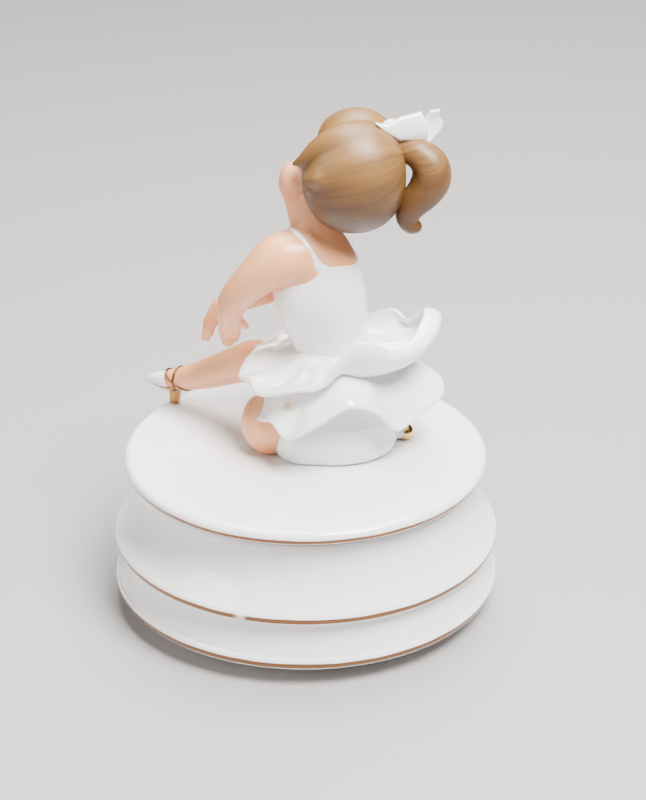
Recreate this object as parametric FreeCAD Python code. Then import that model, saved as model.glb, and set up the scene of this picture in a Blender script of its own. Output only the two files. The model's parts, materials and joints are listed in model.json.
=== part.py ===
"""Porcelain ballerina jewellery box with a clockwork musical movement.

A round porcelain box stands on a felt foot. Its lid carries a seated ballerina, turns on the
movement's drive spindle while the tune plays, and lifts straight off to open the jewellery well.
All sizes are in millimetres, +Z is up, and the origin is the centre of the foot on the table.
"""

import math
import os

import FreeCAD
import Part
from FreeCAD import Vector

# Fits and clearances
RUNNING_GAP = 0.05
LOOSE_GAP = 0.4
LID_GAP = 0.6

# Porcelain box
FOOT_INNER_R = 46.5
FOOT_OUTER_R = 49.5
FELT_T = 0.8
LOW_LIP_R = 60.2
LOW_LIP_Z = 8.0
MID_LIP_R = 60.0
MID_LIP_Z = 23.0
LIP_ROUND = 2.5
WAIST_R = 57.4
NECK_R = 52.6
WELL_R = 48.0
RIM_Z = 43.6
FLOOR_T = 3.0
FLOOR_TOP_Z = 15.0
KEY_WELL_R = 51.0
LINER_T = 0.8

# Lid
LID_R = 56.2
LID_ROUND = 2.2
LID_T = 4.5
LID_TOP_Z = 50.0
LID_RIM_DEPTH = 3.0
LID_RIM_T = 2.2
HUB_R = 6.0
HUB_DEPTH = 7.0

# Musical movement
PLATE_T = 1.6
PLATE_LEFT = 15.0
PLATE_RIGHT = 37.5
PLATE_FRONT = 17.0
PLATE_BACK = 22.0
PLATE_CORNER_R = 4.0
ARBOR_R = 1.8
SPINDLE_R = 2.2
SPINDLE_FLAT = 1.5
BARREL_R = 9.2
BARREL_WALL = 0.8
BARREL_H = 11.0
CROWN_R = 12.4
CROWN_FACE = 2.0
CROWN_TEETH = 36
PINION_TEETH = 12
CROWN_PLATE_T = 1.4
TRAIN_MODULE = 0.4
DRUM_GEAR_TEETH = 32
GOVERNOR_TEETH = 10
DRUM_R = 6.0
DRUM_L = 16.0
DRUM_START_X = 15.2
PIN_R = 0.25
PIN_H = 0.6
NOTES = 18
PINS_PER_NOTE = 3
COMB_T = 1.0
COMB_SLOT = 0.28
BEARING_T = 1.4
RATCHET_R = 5.0
RATCHET_TEETH = 12
RATCHET_T = 1.2
COVER_T = 1.2
COVER_H = 22.0
COVER_GAP = 1.8
SPRING_T = 0.5
SPRING_PITCH = 1.2
SPRING_TURNS = 4
FAN_R = 4.4
SCREW_R = 1.5
SCREW_HEAD_R = 2.8
SCREW_HEAD_T = 1.8

# Winding key
KEY_SPAN = 24.0
KEY_WING_H = 8.0
KEY_WING_T = 1.8
KEY_HUB_R = 3.2
KEY_CLEAR_OF_TABLE = 2.2

# Figure
WAIST_X = 8.3
WAIST_H = 34.0
WAIST_RX = 11.0
WAIST_RY = 8.8
FRILL_T = 1.5
FRILL_SECTIONS = 36

# Rims of the hand-formed frills: angle round the waist in degrees, reach from its centre,
# height above the lid, and how far the frill bellies out under the rim
UPPER_RIM = [
    (10.0, 29.5, 43.8, 6.0),
    (27.0, 26.0, 37.5, 3.0),
    (43.0, 25.0, 38.5, 1.0),
    (75.0, 21.0, 33.5, 1.0),
    (110.0, 20.5, 34.0, 1.0),
    (140.0, 22.0, 31.5, 1.0),
    (165.0, 25.5, 28.5, 1.0),
    (184.0, 28.0, 25.3, 1.0),
    (198.0, 26.0, 26.6, 1.0),
    (213.0, 26.0, 25.0, 1.0),
    (240.0, 22.5, 28.5, 1.0),
    (262.0, 21.0, 31.0, 1.5),
    (285.0, 18.5, 41.5, 3.0),
    (305.0, 20.5, 42.0, 3.0),
    (322.0, 23.5, 38.5, 2.0),
    (344.0, 27.0, 40.5, 5.0),
]
LOWER_RIM = [
    (5.0, 34.0, 17.5, 1.5),
    (16.0, 33.5, 20.3, 1.0),
    (35.0, 30.0, 20.5, 1.0),
    (65.0, 24.5, 17.5, 1.0),
    (100.0, 22.5, 18.5, 1.0),
    (135.0, 24.0, 27.5, 1.0),
    (165.0, 23.0, 25.5, 1.0),
    (195.0, 24.0, 14.5, 1.0),
    (221.0, 24.0, 16.5, 1.0),
    (237.0, 25.0, 13.5, 1.0),
    (258.0, 24.5, 19.0, 1.0),
    (282.0, 24.0, 25.0, 2.0),
    (304.0, 24.0, 21.0, 2.0),
    (322.0, 24.5, 13.5, 1.0),
    (343.0, 27.5, 15.5, 1.5),
    (354.0, 31.0, 16.5, 1.5),
]

# Levels worked out from the sizes above
FLOOR_LOW_Z = FLOOR_TOP_Z - FLOOR_T
PLATE_TOP_Z = FLOOR_TOP_Z + PLATE_T
RATCHET_Z = PLATE_TOP_Z + 0.2
CROWN_Z = RATCHET_Z + RATCHET_T + 0.4
CROWN_MEAN_R = CROWN_R - CROWN_FACE / 2
CROWN_MODULE = 2 * CROWN_MEAN_R / CROWN_TEETH
PINION_R = CROWN_MODULE * PINION_TEETH / 2
CROWN_PITCH_Z = CROWN_Z + CROWN_PLATE_T + 1.2 * CROWN_MODULE
DRUM_Z = CROWN_PITCH_Z + PINION_R
BARREL_TOP_Z = CROWN_Z + BARREL_H
BRIDGE_Z = BARREL_TOP_Z + LOOSE_GAP
BRIDGE_T = 1.6
COVER_TOP_Z = FLOOR_TOP_Z + COVER_H
HUB_LOW_Z = LID_TOP_Z - LID_T - HUB_DEPTH
LID_LOW_Z = RIM_Z + LID_GAP
GOVERNOR_Y = -TRAIN_MODULE * (DRUM_GEAR_TEETH + GOVERNOR_TEETH) / 2
DRUM_END_X = DRUM_START_X + DRUM_L
GEAR_X = DRUM_END_X + 0.8
GEAR_T = 1.6
Z_AXIS = Vector(0, 0, 1)
X_AXIS = Vector(1, 0, 0)
ORIGIN = Vector(0, 0, 0)


def cylinder(radius, start, length, axis=Z_AXIS):
    """A solid rod from the start point along the axis."""
    return Part.makeCylinder(radius, length, start, axis)


def tube(outer, inner, start, length, axis=Z_AXIS):
    """A round sleeve from the start point along the axis."""
    return cylinder(outer, start, length, axis).cut(cylinder(inner, start, length, axis))


def line(a, b):
    """A straight edge between two points."""
    return Part.LineSegment(a, b).toShape()


def arc(a, middle, b):
    """A round edge through three points."""
    return Part.Arc(a, middle, b).toShape()


def at(radius, height):
    """A point of a turned profile, in the XZ plane."""
    return Vector(radius, 0, height)


def turned(edges):
    """The solid of revolution of a closed profile about +Z."""
    return Part.Face(Part.Wire(edges)).revolve(ORIGIN, Z_AXIS, 360)


def rounded_plate(left, right, front, back, corner, low, thickness):
    """A flat rectangular plate with rounded upright corners."""
    box = Part.makeBox(right - left, back - front, thickness, Vector(left, front, low))
    upright = [e for e in box.Edges if abs(e.tangentAt(e.FirstParameter).z) > 0.9]
    return box.makeFillet(corner, upright)


def polygon_prism(points, length, axis):
    """A flat polygon extruded along an axis."""
    return Part.Face(Part.makePolygon(points + points[:1])).extrude(axis * length)


def gear(module, teeth, start, length, first_angle):
    """A spur gear about an axis along +X, with a tooth centred on the first angle from +Y."""
    pitch_r = module * teeth / 2
    levels = ((pitch_r - 1.25 * module, 0.27), (pitch_r, 0.20), (pitch_r + module, 0.10))
    step = 360.0 / teeth
    points = []
    for i in range(teeth):
        middle = first_angle + i * step
        flank = [(r, middle - share * step) for r, share in levels]
        flank += [(r, middle + share * step) for r, share in reversed(levels)]
        for radius, degrees in flank:
            turn = math.radians(degrees)
            points.append(start + Vector(0, radius * math.cos(turn), radius * math.sin(turn)))
    return polygon_prism(points, length, X_AXIS)


def limb(stations):
    """A smooth round limb lofted through (point, radius) stations."""
    wires = []
    for i, (point, radius) in enumerate(stations):
        before = stations[max(i - 1, 0)][0]
        after = stations[min(i + 1, len(stations) - 1)][0]
        circle = Part.Circle(point, after - before, radius)
        wires.append(Part.Wire(circle.toShape()))
    return Part.makeLoft(wires, True, False)


def ellipse_wire(centre, radius_x, radius_y):
    """A level ellipse as a closed wire, with its seam on +X or +Y."""
    big, small = max(radius_x, radius_y), min(radius_x, radius_y)
    curve = Part.Ellipse(centre, big, small)
    if radius_y > radius_x:
        curve.rotate(FreeCAD.Placement(centre, FreeCAD.Rotation(Z_AXIS, 90), ORIGIN))
    return Part.Wire(curve.toShape())


def stacked(sections):
    """A body lofted through level ellipses given as (x, y, height above the lid, rx, ry)."""
    wires = [ellipse_wire(on_lid(x, y, h), rx, ry) for x, y, h, rx, ry in sections]
    return Part.makeLoft(wires, True, False)


def on_lid(x, y, height):
    """A point of the figure, given by its height above the top of the lid."""
    return Vector(x, y, LID_TOP_Z + height)


def ball(centre, radius):
    """A plain sphere."""
    return Part.makeSphere(radius, centre)


def only_solid(shape):
    """The largest solid of a shape, as cuts can leave crumbs."""
    return max(shape.Solids, key=lambda solid: solid.Volume)


def box_shell():
    """The porcelain box: two flared tiers on a foot ring, with the jewellery well above the key well."""
    low_in = LOW_LIP_R - LIP_ROUND
    mid_in = MID_LIP_R - LIP_ROUND
    foot_z = FELT_T
    edges = []
    outline = [
        (line, at(FOOT_INNER_R, foot_z), at(FOOT_OUTER_R, foot_z)),
        (line, at(FOOT_OUTER_R, foot_z), at(FOOT_OUTER_R + 1.0, 3.2)),
        (line, at(FOOT_OUTER_R + 1.0, 3.2), at(low_in, LOW_LIP_Z - LIP_ROUND)),
        (
            arc,
            at(low_in, LOW_LIP_Z - LIP_ROUND),
            at(LOW_LIP_R, LOW_LIP_Z),
            at(LOW_LIP_R - 0.8, LOW_LIP_Z + 2.0),
        ),
        (
            arc,
            at(LOW_LIP_R - 0.8, LOW_LIP_Z + 2.0),
            at(WAIST_R + 0.35, (LOW_LIP_Z + MID_LIP_Z) / 2),
            at(WAIST_R, MID_LIP_Z - LIP_ROUND - 1.0),
        ),
        (line, at(WAIST_R, MID_LIP_Z - LIP_ROUND - 1.0), at(mid_in, MID_LIP_Z - LIP_ROUND)),
        (
            arc,
            at(mid_in, MID_LIP_Z - LIP_ROUND),
            at(MID_LIP_R, MID_LIP_Z),
            at(MID_LIP_R - 0.9, MID_LIP_Z + 1.9),
        ),
        (
            arc,
            at(MID_LIP_R - 0.9, MID_LIP_Z + 1.9),
            at(NECK_R + 1.4, (MID_LIP_Z + RIM_Z) / 2),
            at(NECK_R, RIM_Z - 2.0),
        ),
        (line, at(NECK_R, RIM_Z - 2.0), at(NECK_R, RIM_Z - 0.8)),
        (line, at(NECK_R, RIM_Z - 0.8), at(NECK_R - 0.8, RIM_Z)),
        (line, at(NECK_R - 0.8, RIM_Z), at(WELL_R, RIM_Z)),
        (line, at(WELL_R, RIM_Z), at(WELL_R, FLOOR_TOP_Z)),
        (line, at(WELL_R, FLOOR_TOP_Z), at(0, FLOOR_TOP_Z)),
        (line, at(0, FLOOR_TOP_Z), at(0, FLOOR_LOW_Z)),
        (line, at(0, FLOOR_LOW_Z), at(KEY_WELL_R - 2.0, FLOOR_LOW_Z)),
        (line, at(KEY_WELL_R - 2.0, FLOOR_LOW_Z), at(KEY_WELL_R, FLOOR_LOW_Z - 2.0)),
        (line, at(KEY_WELL_R, FLOOR_LOW_Z - 2.0), at(KEY_WELL_R, LOW_LIP_Z - LIP_ROUND)),
        (line, at(KEY_WELL_R, LOW_LIP_Z - LIP_ROUND), at(FOOT_INNER_R, 2.8)),
        (line, at(FOOT_INNER_R, 2.8), at(FOOT_INNER_R, foot_z)),
    ]
    for maker, *points in outline:
        edges.append(maker(*points))
    shell = turned(edges)
    holes = [cylinder(KEY_HUB_R + 1.2, at(0, FLOOR_LOW_Z), FLOOR_T)]
    holes += [cylinder(SCREW_R + 0.2, Vector(x, y, FLOOR_LOW_Z), FLOOR_T) for x, y in screw_places()]
    return shell.cut(Part.makeCompound(holes))


def screw_places():
    """Where the three fixing screws hold the bedplate."""
    inset = 4.0
    return [
        (-PLATE_LEFT + inset, 0.0),
        (PLATE_RIGHT - inset, -PLATE_FRONT + inset),
        (PLATE_RIGHT - inset, PLATE_BACK - inset),
    ]


def foot_felt():
    """The felt ring under the foot, which the box rests on."""
    return tube(FOOT_OUTER_R, FOOT_INNER_R, ORIGIN, FELT_T)


def movement_outline(grow):
    """The bedplate's four sides, grown outwards: left, right, front, back."""
    return (-PLATE_LEFT - grow, PLATE_RIGHT + grow, -PLATE_FRONT - grow, PLATE_BACK + grow)


def well_liner():
    """The felt that lines the floor of the jewellery well, cut out round the dust cover."""
    sheet = cylinder(WELL_R - LOOSE_GAP, at(0, FLOOR_TOP_Z), LINER_T)
    grow = COVER_GAP + COVER_T + LOOSE_GAP
    return sheet.cut(rounded_plate(*movement_outline(grow), PLATE_CORNER_R + grow, FLOOR_TOP_Z, LINER_T))


def dust_cover():
    """The clear cover over the movement, with a hole for the drive spindle."""
    outer = rounded_plate(
        *movement_outline(COVER_GAP + COVER_T), PLATE_CORNER_R + COVER_GAP + COVER_T, FLOOR_TOP_Z, COVER_H
    )
    inner = rounded_plate(
        *movement_outline(COVER_GAP), PLATE_CORNER_R + COVER_GAP, FLOOR_TOP_Z, COVER_H - COVER_T
    )
    top_edges = [e for e in outer.Edges if e.BoundBox.ZMin > COVER_TOP_Z - 0.01]
    shell = outer.makeFillet(COVER_T * 0.8, top_edges).cut(inner)
    return shell.cut(cylinder(SPINDLE_R + 1.5, at(0, COVER_TOP_Z - COVER_T), COVER_T))


def bedplate():
    """The flat brass bedplate that carries the movement."""
    plate = rounded_plate(*movement_outline(0.0), PLATE_CORNER_R, FLOOR_TOP_Z, PLATE_T)
    holes = [cylinder(ARBOR_R + RUNNING_GAP, at(0, FLOOR_TOP_Z), PLATE_T)]
    holes += [cylinder(SCREW_R, Vector(x, y, FLOOR_TOP_Z), PLATE_T) for x, y in screw_places()]
    return plate.cut(Part.makeCompound(holes))


def movement_screws():
    """The three screws that hold the movement to the floor of the box, from below."""
    screws = []
    for x, y in screw_places():
        head = cylinder(SCREW_HEAD_R, Vector(x, y, FLOOR_LOW_Z - SCREW_HEAD_T), SCREW_HEAD_T)
        slot = Part.makeBox(
            2 * SCREW_HEAD_R, 0.8, 0.8, Vector(x - SCREW_HEAD_R, y - 0.4, FLOOR_LOW_Z - SCREW_HEAD_T)
        )
        shank = cylinder(SCREW_R, Vector(x, y, FLOOR_LOW_Z), FLOOR_T + PLATE_T)
        screws.append(head.cut(slot).fuse(shank).removeSplitter())
    return Part.makeCompound(screws)


def winding_arbor():
    """The arbor that the key turns to wind the mainspring."""
    low = KEY_CLEAR_OF_TABLE + 2.0
    return cylinder(ARBOR_R, at(0, low), BARREL_TOP_Z - BARREL_WALL - LOOSE_GAP - low)


def winding_key():
    """The butterfly winding key in the well under the box."""
    low = KEY_CLEAR_OF_TABLE
    hub = cylinder(KEY_HUB_R, at(0, low), FLOOR_LOW_Z - low + 1.0)
    half = KEY_SPAN / 2
    bow_r = KEY_WING_H / 2
    middle_z = low + bow_r
    wing_corner = Vector(bow_r - half, -KEY_WING_T / 2, low)
    wing = Part.makeBox(KEY_SPAN - KEY_WING_H, KEY_WING_T, KEY_WING_H, wing_corner)
    for side in (-1, 1):
        centre = Vector(side * (half - bow_r), -KEY_WING_T / 2, middle_z)
        wing = wing.fuse(cylinder(bow_r, centre, KEY_WING_T, Vector(0, 1, 0)))
    for side in (-1, 1):
        centre = Vector(side * (half - bow_r), -KEY_WING_T / 2, middle_z)
        wing = wing.cut(cylinder(bow_r * 0.45, centre, KEY_WING_T, Vector(0, 1, 0)))
    bore_low = KEY_CLEAR_OF_TABLE + 2.0
    key = hub.fuse(wing).removeSplitter()
    return key.cut(cylinder(ARBOR_R, at(0, bore_low), FLOOR_TOP_Z - bore_low))


def ratchet_wheel():
    """The ratchet that stops the arbor unwinding through the key."""
    points = []
    for i in range(RATCHET_TEETH):
        start = 2 * math.pi * i / RATCHET_TEETH
        for radius, turn in ((RATCHET_R, start), (RATCHET_R - 0.9, start + 0.05)):
            points.append(Vector(radius * math.cos(turn), radius * math.sin(turn), RATCHET_Z))
    wheel = polygon_prism(points, RATCHET_T, Z_AXIS)
    return wheel.cut(cylinder(ARBOR_R, at(0, RATCHET_Z), RATCHET_T))


CLICK_PIVOT = Vector(-RATCHET_R - 3.0, -4.0, 0)
CLICK_PIN_R = 0.9


def click():
    """The pawl that drops into the ratchet, shown resting on a tooth tip."""
    tip_y = 0.0
    tip_x = -RATCHET_R - LOOSE_GAP
    points = [
        Vector(CLICK_PIVOT.x - 1.6, CLICK_PIVOT.y, RATCHET_Z),
        Vector(CLICK_PIVOT.x + 1.6, CLICK_PIVOT.y, RATCHET_Z),
        Vector(tip_x, tip_y, RATCHET_Z),
        Vector(tip_x - 0.8, tip_y + 0.3, RATCHET_Z),
    ]
    arm = polygon_prism(points, RATCHET_T, Z_AXIS)
    eye_place = Vector(CLICK_PIVOT.x, CLICK_PIVOT.y, RATCHET_Z)
    arm = arm.fuse(cylinder(CLICK_PIN_R + 0.8, eye_place, RATCHET_T))
    return arm.cut(cylinder(CLICK_PIN_R + RUNNING_GAP, eye_place, RATCHET_T)).removeSplitter()


def click_stud():
    """The shouldered stud on the bedplate that the click turns on."""
    return cylinder(CLICK_PIN_R, Vector(CLICK_PIVOT.x, CLICK_PIVOT.y, PLATE_TOP_Z), RATCHET_T + 0.3)


def spring_barrel():
    """The going barrel: a drum for the mainspring with a crown gear round its foot."""
    body = cylinder(BARREL_R, at(0, CROWN_Z), BARREL_H - BARREL_WALL)
    flange = cylinder(CROWN_R, at(0, CROWN_Z), CROWN_PLATE_T)
    hollow = cylinder(BARREL_R - BARREL_WALL, at(0, CROWN_Z + CROWN_PLATE_T), BARREL_H)
    barrel = body.fuse(flange).cut(hollow)
    barrel = barrel.cut(cylinder(ARBOR_R + RUNNING_GAP, at(0, CROWN_Z), CROWN_PLATE_T))
    pitch = math.pi * CROWN_MODULE
    foot_z = CROWN_Z + CROWN_PLATE_T
    tooth_h = 2.0 * CROWN_MODULE
    half_low, half_top = 0.24 * pitch, 0.10 * pitch
    inner = CROWN_R - CROWN_FACE
    teeth = []
    for i in range(CROWN_TEETH):
        points = [
            Vector(inner, -half_low, foot_z - 0.2),
            Vector(inner, half_low, foot_z - 0.2),
            Vector(inner, half_top, foot_z + tooth_h),
            Vector(inner, -half_top, foot_z + tooth_h),
        ]
        tooth = polygon_prism(points, CROWN_FACE - 0.1, X_AXIS)
        tooth.rotate(ORIGIN, Z_AXIS, (i + 0.5) * 360.0 / CROWN_TEETH)
        teeth.append(tooth)
    return barrel.fuse(teeth).removeSplitter()


def barrel_cap():
    """The cap pressed into the barrel, with the drive spindle that turns the lid."""
    cap = cylinder(BARREL_R, at(0, BARREL_TOP_Z - BARREL_WALL), BARREL_WALL)
    stem = cylinder(SPINDLE_R, at(0, BARREL_TOP_Z), HUB_LOW_Z - BARREL_TOP_Z)
    shoulder = cylinder(SPINDLE_R + 1.2, at(0, COVER_TOP_Z + LOOSE_GAP), HUB_LOW_Z - COVER_TOP_Z - LOOSE_GAP)
    nose = cylinder(SPINDLE_R, at(0, HUB_LOW_Z), HUB_DEPTH - 1.5)
    nose = nose.cut(Part.makeBox(9, 9, HUB_DEPTH, Vector(SPINDLE_FLAT, -4.5, HUB_LOW_Z)))
    return cap.fuse([stem, shoulder, nose]).removeSplitter()


def mainspring():
    """The mainspring, a flat strip wound as a spiral inside the barrel."""
    low = CROWN_Z + CROWN_PLATE_T + LOOSE_GAP
    height = BARREL_H - CROWN_PLATE_T - BARREL_WALL - 2 * LOOSE_GAP
    start_r = BARREL_R - BARREL_WALL - LOOSE_GAP - SPRING_T - SPRING_TURNS * SPRING_PITCH
    count = 12 * SPRING_TURNS
    sides = []
    for offset in (0.0, SPRING_T):
        points = []
        for i in range(count + 1):
            turn = 2 * math.pi * i / 12
            radius = start_r + offset + SPRING_PITCH * i / 12
            points.append(Vector(radius * math.cos(turn), radius * math.sin(turn), low))
        curve = Part.BSplineCurve()
        curve.interpolate(points)
        sides.append((curve, points))
    (inner, inner_points), (outer, outer_points) = sides
    edges = [
        inner.toShape(),
        line(inner_points[-1], outer_points[-1]),
        outer.toShape(),
        line(outer_points[0], inner_points[0]),
    ]
    return Part.Face(Part.Wire(Part.__sortEdges__(edges))).extrude(Z_AXIS * height)


def barrel_bridge():
    """The bridge over the barrel, with its two pillars on the bedplate."""
    arm = rounded_plate(-PLATE_LEFT, 4.5, -PLATE_FRONT + 2.0, PLATE_FRONT - 2.0, 3.5, BRIDGE_Z, BRIDGE_T)
    arm = arm.cut(cylinder(SPINDLE_R + RUNNING_GAP, at(0, BRIDGE_Z), BRIDGE_T))
    for side in (-1, 1):
        place = Vector(-PLATE_LEFT + 4.0, side * (PLATE_FRONT - 5.0), PLATE_TOP_Z)
        arm = arm.fuse(cylinder(1.8, place, BRIDGE_Z - PLATE_TOP_Z))
    return arm.removeSplitter()


def cylinder_arbor():
    """The steel arbor through the pinned cylinder."""
    start = Vector(CROWN_R - CROWN_FACE - 0.4, 0, DRUM_Z)
    length = GEAR_X + GEAR_T + 3.0 - CROWN_R + CROWN_FACE
    return cylinder(0.9, start, length, X_AXIS)


def cylinder_drum():
    """The brass cylinder that carries the tune."""
    return tube(DRUM_R, 0.9, Vector(DRUM_START_X, 0, DRUM_Z), DRUM_L, X_AXIS)


def cylinder_pins():
    """The pins of the tune, a few for each note, spread round the cylinder."""
    pins = []
    drum = cylinder(DRUM_R, Vector(DRUM_START_X, 0, DRUM_Z), DRUM_L, X_AXIS)
    pitch = DRUM_L / NOTES
    for note in range(NOTES):
        for repeat in range(PINS_PER_NOTE):
            turn = math.radians(137.5 * note + 360.0 / PINS_PER_NOTE * repeat + 40.0 * math.sin(note))
            out = Vector(0, math.cos(turn), math.sin(turn))
            foot = Vector(DRUM_START_X + (note + 0.5) * pitch, 0, DRUM_Z) + out * (DRUM_R - 0.3)
            pins.append(cylinder(PIN_R, foot, PIN_H + 0.3, out).cut(drum))
    return Part.makeCompound([only_solid(pin) for pin in pins])


def cylinder_pinion():
    """The pinion that the crown gear drives."""
    start = Vector(CROWN_R - CROWN_FACE + 0.1, 0, DRUM_Z)
    wheel = gear(CROWN_MODULE, PINION_TEETH, start, CROWN_FACE - 0.2, -90.0)
    return wheel.cut(cylinder(0.9, start, CROWN_FACE, X_AXIS))


def cylinder_gear():
    """The wheel on the cylinder's end that drives the governor."""
    start = Vector(GEAR_X, 0, DRUM_Z)
    return gear(TRAIN_MODULE, DRUM_GEAR_TEETH, start, GEAR_T, 180.0).cut(cylinder(0.9, start, GEAR_T, X_AXIS))


def cylinder_bearings():
    """The two upright bearings that the cylinder turns in."""
    bearings = []
    for x in (CROWN_R + 0.8, GEAR_X + GEAR_T + 0.6):
        post = Part.makeBox(BEARING_T, 6.0, DRUM_Z - PLATE_TOP_Z, Vector(x, -3.0, PLATE_TOP_Z))
        post = post.fuse(cylinder(3.0, Vector(x, 0, DRUM_Z), BEARING_T, X_AXIS))
        post = post.cut(cylinder(0.9 + RUNNING_GAP, Vector(x, 0, DRUM_Z), BEARING_T, X_AXIS))
        bearings.append(post.removeSplitter())
    return Part.makeCompound(bearings)


COMB_TIP_Y = DRUM_R + PIN_H + 0.25
COMB_ROOT_Y = COMB_TIP_Y + 6.5
COMB_BACK_Y = COMB_TIP_Y + 13.0


def comb_screw_places():
    """Where the two screws clamp the comb."""
    y = COMB_BACK_Y - 3.0
    return [(DRUM_START_X + DRUM_L * share, y) for share in (0.22, 0.78)]


def comb():
    """The tuned steel comb, one tooth for each note."""
    plate = Part.makeBox(
        DRUM_L, COMB_BACK_Y - COMB_TIP_Y, COMB_T, Vector(DRUM_START_X, COMB_TIP_Y, DRUM_Z - COMB_T / 2)
    )
    pitch = DRUM_L / NOTES
    cuts = []
    for i in range(1, NOTES):
        length = COMB_ROOT_Y - COMB_TIP_Y - 2.5 * i / NOTES
        start = Vector(DRUM_START_X + i * pitch - COMB_SLOT / 2, COMB_TIP_Y - 0.1, DRUM_Z - COMB_T)
        cuts.append(Part.makeBox(COMB_SLOT, length, 2 * COMB_T, start))
    for x, y in comb_screw_places():
        cuts.append(cylinder(1.0, Vector(x, y, DRUM_Z - COMB_T), 2 * COMB_T))
    return plate.cut(Part.makeCompound(cuts))


def comb_block():
    """The raised block that the comb is screwed down to."""
    low_y = COMB_ROOT_Y + 0.6
    top = DRUM_Z - COMB_T / 2
    corner = Vector(DRUM_START_X, low_y, PLATE_TOP_Z)
    block = Part.makeBox(DRUM_L, COMB_BACK_Y - low_y, top - PLATE_TOP_Z, corner)
    holes = [cylinder(1.0, Vector(x, y, top - 4.0), 4.0) for x, y in comb_screw_places()]
    return block.cut(Part.makeCompound(holes))


def comb_screws():
    """The two screws that clamp the comb to its block."""
    screws = []
    top = DRUM_Z + COMB_T / 2
    for x, y in comb_screw_places():
        shank = cylinder(1.0, Vector(x, y, top - COMB_T - 3.6), COMB_T + 3.6)
        head = cylinder(2.0, Vector(x, y, top), 1.2)
        head = head.cut(Part.makeBox(4.0, 0.6, 0.6, Vector(x - 2.0, y - 0.3, top + 0.6)))
        screws.append(shank.fuse(head).removeSplitter())
    return Part.makeCompound(screws)


HOUSING_X = 20.5
HOUSING_W = GEAR_X - LOOSE_GAP - HOUSING_X
HOUSING_FRONT_Y = -PLATE_FRONT + 1.2
HOUSING_BACK_Y = -DRUM_R - PIN_H - 0.5
HOUSING_H = 11.0
FAN_X = HOUSING_X + HOUSING_W / 2
FAN_Y = (HOUSING_FRONT_Y + HOUSING_BACK_Y) / 2


def governor_housing():
    """The closed case of the air brake, which holds the worm and its wheel."""
    depth = HOUSING_BACK_Y - HOUSING_FRONT_Y
    case = Part.makeBox(HOUSING_W, depth, HOUSING_H, Vector(HOUSING_X, HOUSING_FRONT_Y, PLATE_TOP_Z))
    upright = [e for e in case.Edges if abs(e.tangentAt(e.FirstParameter).z) > 0.9]
    case = case.makeFillet(1.2, upright)
    bearing = Vector(HOUSING_X + 2.0, GOVERNOR_Y, DRUM_Z)
    case = case.cut(cylinder(0.8 + RUNNING_GAP, bearing, HOUSING_W, X_AXIS))
    return case.cut(cylinder(0.8 + RUNNING_GAP, Vector(FAN_X, FAN_Y, PLATE_TOP_Z + HOUSING_H - 2.5), 3.0))


def governor_pinion():
    """The small pinion and shaft that carry the drive into the air brake."""
    start = Vector(GEAR_X, GOVERNOR_Y, DRUM_Z)
    wheel = gear(TRAIN_MODULE, GOVERNOR_TEETH, start, GEAR_T, 180.0 / GOVERNOR_TEETH)
    shaft_start = Vector(HOUSING_X + 2.4, GOVERNOR_Y, DRUM_Z)
    shaft = cylinder(0.8, shaft_start, GEAR_X + GEAR_T + 0.6 - shaft_start.x, X_AXIS)
    return wheel.fuse(shaft).removeSplitter()


def governor_fan():
    """The butterfly fan of the air brake, which steadies the tune."""
    low = PLATE_TOP_Z + HOUSING_H
    shaft = cylinder(0.8, Vector(FAN_X, FAN_Y, low - 2.2), 2.2 + 5.0)
    blades = Part.makeBox(2 * FAN_R, 0.7, 4.0, Vector(FAN_X - FAN_R, FAN_Y - 0.35, low + 0.8))
    return shaft.fuse(blades).removeSplitter()


def lid_plate():
    """The porcelain lid: a thick round-edged plate with a locating rim underneath."""
    inner = LID_R - LID_ROUND
    under = LID_TOP_Z - LID_T
    rim_out = WELL_R - LID_GAP
    rim_in = rim_out - LID_RIM_T
    rim_low = LID_LOW_Z - LID_RIM_DEPTH
    low_edge = LID_TOP_Z - 2 * LID_ROUND
    edges = [
        line(at(0, LID_TOP_Z), at(inner, LID_TOP_Z)),
        arc(at(inner, LID_TOP_Z), at(LID_R, LID_TOP_Z - LID_ROUND), at(inner, low_edge)),
        line(at(inner, low_edge), at(NECK_R - 0.8, LID_LOW_Z)),
        line(at(NECK_R - 0.8, LID_LOW_Z), at(rim_out, LID_LOW_Z)),
        line(at(rim_out, LID_LOW_Z), at(rim_out, rim_low)),
        line(at(rim_out, rim_low), at(rim_in, rim_low)),
        line(at(rim_in, rim_low), at(rim_in - 1.0, under)),
        line(at(rim_in - 1.0, under), at(0, under)),
        line(at(0, under), at(0, LID_TOP_Z)),
    ]
    return turned(edges)


def lid_hub():
    """The brass hub under the lid, whose flatted socket sits on the drive spindle."""
    hub = cylinder(HUB_R, at(0, HUB_LOW_Z), HUB_DEPTH)
    gap = 0.08
    socket = cylinder(SPINDLE_R + gap, at(0, HUB_LOW_Z), HUB_DEPTH - 1.0)
    socket = socket.cut(Part.makeBox(9, 9, HUB_DEPTH, Vector(SPINDLE_FLAT + gap, -4.5, HUB_LOW_Z)))
    return hub.cut(socket)


def hips():
    """The seat of the figure under the skirt, flat where it meets the lid."""
    return stacked(
        [
            (9.0, 0.0, 0.0, 17.5, 13.5),
            (9.0, 0.0, 4.0, 19.5, 15.0),
            (9.0, 0.0, 12.0, 18.5, 14.8),
            (8.6, 0.0, 22.0, 14.5, 12.5),
            (WAIST_X, 0.0, WAIST_H, WAIST_RX, WAIST_RY),
        ]
    )


def leotard():
    """The bodice from the waist to the armpits."""
    return stacked(
        [
            (WAIST_X, 0.0, WAIST_H, WAIST_RX, WAIST_RY),
            (6.4, 0.0, 43.0, 12.6, 9.6),
            (4.6, 0.0, 51.0, 13.6, 10.2),
            (4.0, 0.0, 58.5, 13.0, 9.8),
        ]
    )


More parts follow.
